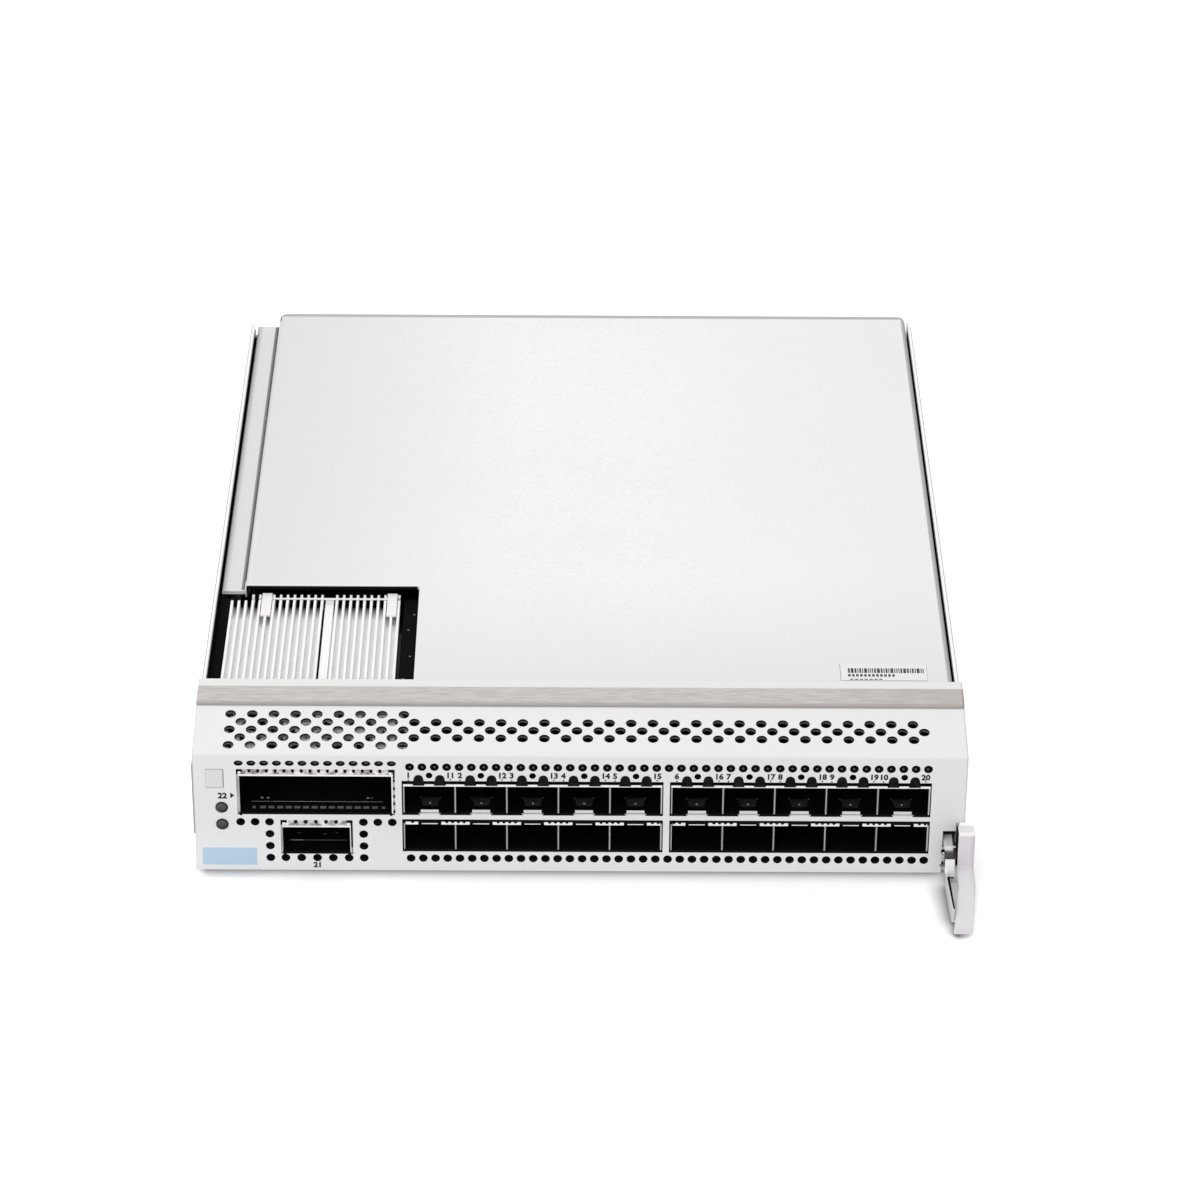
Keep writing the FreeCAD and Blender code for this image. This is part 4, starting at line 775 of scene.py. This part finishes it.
def make_finger_frame(name, span, top, lip, mouth, notches, dashes):
    """Contact fingers over a large port's mouth, with a white lip under them and thin cheeks."""
    band = Piece(name + "_fingers", FINGERS)
    edge = Piece(name + "_lip", BRIGHT)
    cheeks = Piece(name + "_cheeks", CHEEK)
    gaps = Piece(name + "_gaps", GAP)
    left, right = span
    lip_low, lip_high = lip
    mouth_left, mouth_right, floor = mouth
    first, pitch, count, width = notches
    corner = 1.75
    gap_depth = (0.0, 0.12)
    wall_depth = (0.0, 0.4)
    band.block((left + 0.05, right - 0.05), (0.1, 0.45), (lip_high - 0.05, top - 0.02))
    for i in range(count):
        x = first + pitch * i
        notch = arc(x, top - 0.75, width / 2, 180, 360, 6) + [(x + width / 2, top), (x - width / 2, top)]
        gaps.front(notch, *gap_depth)
    gaps.block((left, left + corner), gap_depth, (top - 0.95, top))
    gaps.block((left, left + 0.45), gap_depth, (top - 1.65, top - 0.95))
    gaps.block((right - corner, right), gap_depth, (top - 1.0, top))
    edge.dome(left + 0.9, top - 1.15, 0.45, 0.1, 0.2)
    edge.dome(right - 1.25, top - 1.3, 0.48, 0.1, 0.2)
    edge.block((left + 0.45, right - 0.45), (-0.05, 0.4), (lip_low, lip_high))
    cheeks.block((left + 0.05, mouth_left), wall_depth, (floor + 0.4, lip_high))
    right_cheek = (right - 0.56, right - 0.04)
    cheeks.block(right_cheek, (-0.01, 0.4), (floor + 0.5, top - 1.0))
    edge.block((mouth_right, mouth_right + 0.4), wall_depth, (floor + 0.4, lip_high))
    for low, high in dashes:
        gaps.block(right_cheek, (-0.03, 0.3), (low, high))
    # Painted shade along the front edge of the mouth's floor.
    gaps.block((mouth_left, mouth_right), (0.08, 0.19), (floor - 0.05, floor + 0.65))
    for x in (mouth_left + 0.5, mouth_right - 0.2):
        gaps.front(circle(x, floor, 0.42, 12), -0.02, 0.05)
    band.done(0.06)
    edge.done(0.1)
    cheeks.done(0.05)
    gaps.done()


def make_port_floors():
    """A painted shade sheet and contacts on the floors of the large ports."""
    floor_shade_top = 18.63
    # Painted shade: dark sheets on the line port's floor and at its front edge.
    floor_shade = Piece("line_port_floor_shade", GAP)
    floor_shade.block(around(LINE_X, 20.95), (2.05, 80), (floor_shade_top - 0.03, floor_shade_top))
    floor_shade.block(around(LINE_X, 20.95), (1.9, 1.98), (16.6, floor_shade_top))
    floor_shade.done()
    dim = Piece("large_port_contacts", CONTACT_AND_GLINT)
    shown = Piece("large_port_pins", BRIGHT)
    line_z = (floor_shade_top, floor_shade_top + 0.05)
    contact_count = 16
    for i in range(contact_count):
        x = -90.35 + i * 2.39
        half = 0.5 if i in (0, contact_count - 1) else 0.85
        dim.block(around(x, half), (2.75, 3.95), line_z)
    shown.block((-91.2, -55.0), (6.2, 6.3), (floor_shade_top, floor_shade_top + 0.03))
    rear_pin_y = (7.85, 8.35)
    for x in (-88.5, -86.84, -59.0):
        shown.block(around(x, 0.35), rear_pin_y, line_z)
    dim.block((-58.2, -57.6), rear_pin_y, line_z)
    quad_z = (5.95, 6.02)
    quad_left = -80.96
    dim.block((quad_left, -65.0), (5.9, 6.1), quad_z)
    shown.block((quad_left, -77.3), (5.85, 6.12), (6.0, 6.04))
    for x, y in ((-68.0, 9.75), (-71.3, 9.08), (-78.6, 9.6)):
        dim.block(around(x, 0.5), around(y, 0.17), quad_z)
    dim.done()
    shown.done()


make_upper_trim()
make_lower_trim()
LINE_DASHES = [(30.5, 32.4)] + [around(z, 0.5) for z in (29.7, 27.05, 24.55, 22.15, 19.55)]
QUAD_DASHES = [(7.6, 15.7)]
make_finger_frame("line_port", (-94.78, -51.04), 33.3, (31.02, 31.58), (-94.35, -52.05, 18.45),
                  (-91.15, 2.397, 16, 0.85), LINE_DASHES)
make_finger_frame("quad_port", (-83.0, -62.98), 16.6, (14.2, 14.7), (-82.55, -63.8, 5.5),
                  (-78.76, 2.80, 5, 1.0), QUAD_DASHES)
make_port_floors()


# Painted shade, glints and highlights beside the cover, round the heat sink and in the vents

def make_shade_sheets():
    """Painted shade: dark sheets in the gaps beside the cover, round the heat sink and behind the vents, and
    a dark line along the window's rear edge.
    """
    dark = Piece("gap_shade_sheets", GAP)
    for side in (-1, 1):
        dark.block(mirrored(side, 105.08, 105.0), (GAP_FRONT, WALL_REAR), (36.9, 40.6))
        dark.block(mirrored(side, 105.05, 104.45), (GAP_FRONT, 252.5), (37.0, 37.1))
    shade_sheet_y = (31.5, 84.0)
    shade_sheet_z = (37.8, SHADE_SHEET_TOP)
    dark.block((-104.3, -101.5), shade_sheet_y, shade_sheet_z)
    dark.block((-51.2, WINDOW_RIGHT), shade_sheet_y, shade_sheet_z)
    upper_vent_shade_y = (1.3, 1.4)
    dark.block((-88.0, 98.0), (1.25, 1.35), (2.75, 5.35))
    dark.block((-49.0, 98.5), upper_vent_shade_y, (32.8, 35.6))
    dark.block((-96.0, -50.0), upper_vent_shade_y, (33.5, 36.3))
    corner_x = -96.3
    edge_y = (84.1, 84.19)
    edge_top = 42.15
    dark.block((-97.05, corner_x), edge_y, (38.4, edge_top))
    dark.block((corner_x, WINDOW_RIGHT), edge_y, (41.2, edge_top))
    dark.done()


def make_vent_glints():
    """Painted glints behind the upper row of vents and the oval vents, and dim specks beside the heat sink.
    """
    glints = Piece("vent_glints", CONTACT_AND_GLINT)
    glint_y = (1.25, 1.3)
    for x in row_vent_places():
        glints.front(circle(x, 33.4, 0.32, 10), *glint_y)
    for x in line_vent_places():
        glints.front(circle(x, 34.5, 0.7, 12, 0.5), *glint_y)
    glints.done()
    specks = Piece("shade_sheet_specks", CONTACT_AND_GLINT)
    for x, y in ((-50.2, 40.1), (-48.6, 52.3), (-49.5, 66.8), (-48.1, 75.4)):
        specks.block(around(x, 0.25), around(y, 0.3), (SHADE_SHEET_TOP, SHADE_SHEET_TOP + 0.04))
    specks.done()


def make_edge_lines():
    """Painted shade and painted highlight lines along the sheet edges."""
    # Painted shade on the ledge beside the step and along the cover's left edge near the rear.
    ledge_shade = Piece("ledge_shade_line", EDGE_SHADE)
    ledge_shade.block((LEDGE_SHADE_LEFT, -97.42), (86.2, 253.0), (39.6, LEDGE_LINE_Z))
    ledge_shade.block((-97.1, -96.8), (252.0, 255.0), (COVER_TOP, COVER_TOP + 0.03))
    ledge_shade.done()
    # Painted shade along the top outer edge of each wall.
    lines = Piece("wall_edge_shade_lines", OUTLINE)
    for side in (-1, 1):
        lines.block(mirrored(side, 105.9, 106.09), (GAP_FRONT, WALL_REAR), (COVER_TOP, COVER_TOP + 0.02))
    lines.done()
    # Painted highlights along the window's rear edge, on the ledge's front end and beside the step.
    bright = Piece("window_edge_highlights", BRIGHT)
    bright.block((-97.0, WINDOW_RIGHT), (84.2, 84.8), (COVER_TOP, COVER_TOP + 0.03))
    ledge_end_x = (-104.2, -98.0)
    ledge_end_y = (85.5, 85.59)
    bright.block(ledge_end_x, ledge_end_y, (39.25, LEDGE_LINE_Z))
    bright.block(ledge_end_x, ledge_end_y, (38.6, 38.95))
    bright.block((-97.8, -97.45), (85.65, 91.5), (LEDGE_LINE_Z, LEDGE_LINE_Z + 0.03))
    bright.done()


def make_sink_floor():
    """Floor between the fins with painted shade towards the rear, and a painted shadow line beside the rib.
    """
    floor = Piece("fin_floor", SINK_FLOOR, body="heat_sink")
    floor.block((-101.2, -52.4), (SINK_FRONT, FIN_FLOOR_REAR), (37.05, 37.08))
    floor.done()
    rib_shade = Piece("rib_shadow_line", GAP, body="heat_sink")
    rib_shade.block((-74.55, -74.05), (SINK_FRONT, 77.0), (37.1, 38.5))
    rib_shade.done()


def make_slope_glints():
    """Painted reflections: a mottled sheet seen through the left slope vents."""
    glints = Piece("slope_glints", GLINT)
    thick = 0.1
    under = FOLD - SLOPE_OUT * 1.9
    low = under + SLOPE_UP * 2.0
    high = under + SLOPE_UP * 17.6
    profile = [(low.y, low.z), (high.y, high.z), (high.y, high.z - thick), (low.y, low.z - thick)]
    glints.along(profile, -98.6, -46.8)
    glints.done()


make_shade_sheets()
make_vent_glints()
make_edge_lines()
make_sink_floor()
make_slope_glints()


# Small pieces of the ejector

def make_ejector_trim():
    """Painted shade and painted highlights on the lever, its leaf, its bracket and the notch behind them."""
    notch = Piece("notch_shade", GAP)
    notch.block((100.9, 104.2), (1.3, 1.5), (12.2, 13.8))
    notch.done()
    # Painted highlight along the bracket's front edge.
    edge = Piece("bracket_edge_highlight", BRIGHT)
    edge.along([(-3.7, 10.75), (-3.1, 10.88), (-3.0, 11.0), (-3.6, 10.95)], 101.25, 104.2)
    edge.done()
    # Painted shade on the left side of the lever's root.
    side = Piece("lever_side_shade", GAP, body="lever")
    side.block((104.36, 104.7), (-4.9, -0.9), (5.6, 16.3))
    side.done()
    web = Piece("lever_web", LEVER, body="lever")
    web.flat([(101.3, -6.7), (104.65, -6.7), (104.65, -13.0), (102.95, -25.4), (101.95, -25.4)], 0.85, 1.3)
    web.done()
    # Painted shadow line along the leaf.
    line = Piece("leaf_shadow_line", GAP, body="leaf")
    line.flat([(101.62, -9.4), (102.34, -9.4), (102.78, -25.1), (102.36, -25.1)], 5.0, 5.02)
    line.done()
    foot = Piece("leaf_tab_shade", GAP, body="leaf")
    foot.block((102.2, 103.83), (-6.6, -5.95), (2.5, 3.0))
    foot.done()
    rivet_x, rivet_z = 100.72, 9.9
    ring_front = -5.1
    rings = Piece("hinge_rivet_rings", GAP)
    rings.front(circle(rivet_x, rivet_z, 0.58, 14), ring_front, -3.9)
    rings.front(circle(100.5, 2.5, 0.26, 10), -0.02, 0.02)
    rings.done()
    rivets = Piece("hinge_rivets", BRIGHT)
    rivets.dome(rivet_x, rivet_z, 0.33, ring_front + 0.02, 0.15)
    rivets.done()


make_ejector_trim()


# Plain marks: bare badge and label, numbers, pointers

def number_mesh(text, size):
    """Flat mesh of a plain number, a little bolder than the font."""
    curve = bpy.data.curves.new("number", "FONT")
    curve.body = text
    curve.size = size
    curve.align_x = "CENTER"
    curve.extrude = 0.01
    curve.offset = 0.11
    curve.resolution_u = 3
    thing = bpy.data.objects.new("number", curve)
    bpy.context.scene.collection.objects.link(thing)
    view = bpy.context.evaluated_depsgraph_get()
    mesh = bpy.data.meshes.new_from_object(thing.evaluated_get(view))
    bpy.data.objects.remove(thing)
    bpy.data.curves.remove(curve)
    return mesh


def write_numbers():
    """Numbers 1 to 22 beside the ports, with pointers to the upper and lower rows."""
    ink = Piece("port_numbers", INK)

    def number(text, x, z, size):
        stand = Matrix(((1, 0, 0, x), (0, 0, -1, -0.012), (0, 1, 0, z), (0, 0, 0, 1)))
        ink.add_mesh(number_mesh(text, size), stand)

    def pointer(outline):
        ink.front(outline, -0.02, 0.0)

    number_z, number_size = 30.7, 2.4
    pointer_low, pointer_high, pointer_half = 29.78, 30.28, 0.35
    for i, x in enumerate(PORT_CENTRES):
        low = x - 5.75
        high = x + 5.85
        number(str(i + 1), low, number_z, number_size)
        number(str(i + 1 + len(PORT_CENTRES)), high, number_z, number_size)
        pointer([(low - pointer_half, pointer_low), (low + pointer_half, pointer_low), (low, pointer_high)])
        pointer([(high - pointer_half, pointer_high), (high + pointer_half, pointer_high),
                 (high, pointer_low)])
    number("21", LINE_X + 0.05, 0.95, 2.35)
    number("22", -98.75, 23.7, 2.5)
    pointer([(-96.6, 23.75), (-95.4, 24.65), (-96.6, 25.55)])
    ink.done()


def make_marks():
    """Bare label, bare badge and the two status lamps."""
    label = Piece("blank_label", SKY_LABEL)
    label.block((-104.95, -89.75), (-0.05, 0.0), (1.65, 7.3))
    label.done()
    # Painted shadow round the badge, wider on its right and lower edges.
    shadow_front = -0.12
    shadow_edge = Piece("badge_shadow_edge", EDGE_SHADE)
    shadow_edge.block((-103.22, -98.28), (shadow_front, 0.0), (27.18, 33.22))
    shadow_edge.done()
    badge = Piece("blank_badge", BADGE)
    badge.block((-103.17, -98.5), (-0.2, shadow_front), (27.4, 33.17))
    badge.done(0.05)
    rings = Piece("lamp_rings", GAP)
    lenses = Piece("lamp_lenses", LAMP)
    lens_x = LAMP_X - 0.08
    ring_front = -0.21
    for hole_z in LAMP_HEIGHTS:
        lens_z = hole_z + 0.1
        rings.front(circle(lens_x, lens_z, 1.72, 28), ring_front, 0.0)
        lenses.dome(lens_x, lens_z, 1.5, ring_front, 0.45)
    rings.done()
    lenses.done(smooth=True)


def make_cover_label():
    """White label with a generic pattern of bars and two rows of dashes."""
    edge_top = COVER_TOP + 0.02
    paper_top = edge_top + 0.02
    ink_z = (paper_top, paper_top + 0.01)
    border = Piece("cover_label_edge", OUTLINE)
    border.block((73.0, 97.55), (32.92, 42.05), (COVER_TOP, edge_top))
    border.done()
    paper = Piece("cover_label", WHITE_LABEL)
    paper.block((73.2, 97.45), (33.2, 42.0), (edge_top, paper_top))
    paper.done()
    bars = Piece("cover_label_bars", LABEL_INK)
    widths = (0.5, 0.3, 0.8, 0.3, 0.5, 0.3, 0.3, 0.8, 0.5, 0.3)
    step = 7
    gap = 0.28
    x = 75.28
    for i in range(29):
        width = widths[(i * step) % len(widths)]
        bars.block((x, x + width), (37.14, 39.64), ink_z)
        x += width + gap
    for start, pitch, count, width, dash_y in (
        (75.2, 1.13, 12, 0.7, (35.2, 36.5)),
        (75.65, 1.36, 7, 0.95, (33.5, 34.0)),
    ):
        for i in range(count):
            left = start + i * pitch
            bars.block((left, left + width), dash_y, ink_z)
    bars.done()


write_numbers()
make_marks()
make_cover_label()


# Stage, in metres

def map_range(tree, value, low, high, start=0.0, end=1.0):
    """Map Range node; a limit may be a number or another node's output."""
    node = tree.nodes.new("ShaderNodeMapRange")
    node.inputs["From Min"].default_value = start
    node.inputs["From Max"].default_value = end
    tree.links.new(value, node.inputs["Value"])
    for name, limit in (("To Min", low), ("To Max", high)):
        if isinstance(limit, float):
            node.inputs[name].default_value = limit
        else:
            tree.links.new(limit, node.inputs[name])
    return node.outputs["Result"]


def combine(tree, operation, first, second):
    node = tree.nodes.new("ShaderNodeMath")
    node.operation = operation
    tree.links.new(first, node.inputs[0])
    tree.links.new(second, node.inputs[1])
    return node.outputs[0]


def floor_material():
    """White floor with a soft contact shade beside the card, and a glow that only the camera sees."""
    floor = bpy.data.materials.new("floor_white")
    floor.use_nodes = True
    tree = floor.node_tree
    tree.nodes.clear()
    out = tree.nodes.new("ShaderNodeOutputMaterial")
    diffuse = tree.nodes.new("ShaderNodeBsdfDiffuse")
    noise = tree.nodes.new("ShaderNodeTexNoise")
    noise.inputs["Scale"].default_value = 30.0
    ramp = tree.nodes.new("ShaderNodeValToRGB")
    ramp.color_ramp.elements[0].color = grey(0.9)
    ramp.color_ramp.elements[1].color = grey(0.91)
    tree.links.new(noise.outputs["Fac"], ramp.inputs["Fac"])

    contact_reach = 0.006
    contact_shade = 0.25
    left_fade = (-0.108, -0.104)
    right_fade = (0.1075, 0.1035)
    nearby = tree.nodes.new("ShaderNodeAmbientOcclusion")
    nearby.samples = 8
    nearby.inputs["Distance"].default_value = contact_reach
    contact = map_range(tree, nearby.outputs["AO"], contact_shade, 1.0, 0.5, 1.0)
    where = tree.nodes.new("ShaderNodeTexCoord")
    axes = tree.nodes.new("ShaderNodeSeparateXYZ")
    tree.links.new(where.outputs["Object"], axes.inputs["Vector"])
    inside_left = map_range(tree, axes.outputs["X"], 0.0, 1.0, *left_fade)
    inside_right = map_range(tree, axes.outputs["X"], 0.0, 1.0, *right_fade)
    inside = combine(tree, "MULTIPLY", inside_left, inside_right)
    contact = map_range(tree, inside, 1.0, contact)

    path = tree.nodes.new("ShaderNodeLightPath")
    seen = combine(tree, "MAXIMUM", path.outputs["Is Camera Ray"], path.outputs["Is Glossy Ray"])
    seen = combine(tree, "MAXIMUM", seen, path.outputs["Is Transmission Ray"])
    shown = map_range(tree, seen, 1.0, contact)
    shaded = tree.nodes.new("ShaderNodeMix")
    shaded.data_type = "RGBA"
    shaded.blend_type = "MULTIPLY"
    shaded.inputs["Factor"].default_value = 1.0
    tree.links.new(ramp.outputs["Color"], shaded.inputs["A"])
    tree.links.new(shown, shaded.inputs["B"])
    tree.links.new(shaded.outputs["Result"], diffuse.inputs["Color"])
    glow_strength = 0.32
    share = map_range(tree, combine(tree, "MULTIPLY", seen, contact), 0.0, glow_strength)
    glow = tree.nodes.new("ShaderNodeEmission")
    tree.links.new(share, glow.inputs["Strength"])
    both = tree.nodes.new("ShaderNodeAddShader")
    tree.links.new(diffuse.outputs[0], both.inputs[0])
    tree.links.new(glow.outputs[0], both.inputs[1])
    tree.links.new(both.outputs[0], out.inputs["Surface"])
    return floor


def make_floor():
    half = 6.0
    corners = [(-half, -half, 0), (half, -half, 0), (half, half, 0), (-half, half, 0)]
    data = bpy.data.meshes.new("floor")
    data.from_pydata(corners, [], [(0, 1, 2, 3)])
    data.materials.append(floor_material())
    plane = bpy.data.objects.new("floor", data)
    bpy.context.scene.collection.objects.link(plane)


def make_world():
    """White surroundings, a little dimmer as light than as a background."""
    world = bpy.data.worlds.new("studio")
    bpy.context.scene.world = world
    world.use_nodes = True
    tree = world.node_tree
    background = tree.nodes["Background"]
    path = tree.nodes.new("ShaderNodeLightPath")
    seen = combine(tree, "MAXIMUM", path.outputs["Is Camera Ray"], path.outputs["Is Transmission Ray"])
    light_level = 0.72
    tree.links.new(map_range(tree, seen, light_level, 1.0), background.inputs["Strength"])
    background.inputs["Color"].default_value = grey(1.0)


def make_lamp(name, place, size, watts):
    """Square soft box aimed at the middle of the card."""
    light = bpy.data.lights.new(name, "AREA")
    light.shape = "RECTANGLE"
    light.size = size
    light.size_y = size
    light.energy = watts
    thing = bpy.data.objects.new(name, light)
    bpy.context.scene.collection.objects.link(thing)
    thing.location = place
    aim = Vector((0, 0, 0.02)) - Vector(place)
    thing.rotation_euler = aim.to_track_quat("-Z", "Y").to_euler()


def make_camera():
    """Camera worked out from the photograph."""
    pitch = math.radians(30.67)
    yaw = math.radians(0.359)
    roll = math.radians(0.4596)
    place = (-0.00144, -1.16593, 0.70347)
    half_frame_px = 600
    focal_px = 4486.23
    ahead = Vector((math.sin(yaw) * math.cos(pitch), math.cos(yaw) * math.cos(pitch), -math.sin(pitch)))
    right = Vector((math.cos(yaw), -math.sin(yaw), 0))
    up = right.cross(ahead)
    side = math.cos(roll) * right + math.sin(roll) * up
    top = -math.sin(roll) * right + math.cos(roll) * up
    data = bpy.data.cameras.new("camera")
    data.sensor_fit = "HORIZONTAL"
    data.angle = 2 * math.atan(half_frame_px / focal_px)
    camera = bpy.data.objects.new("camera", data)
    turn = Matrix((side, top, -ahead)).transposed().to_4x4()
    camera.matrix_world = Matrix.Translation(place) @ turn
    bpy.context.scene.collection.objects.link(camera)
    bpy.context.scene.camera = camera


make_floor()
make_world()
make_lamp("top_soft_box", (-0.25, 0.25, 1.5), 1.4, 7.8)
make_lamp("front_soft_box", (-0.5, -1.3, 0.85), 1.0, 4.6)
make_camera()
bpy.context.scene.view_settings.view_transform = "Standard"
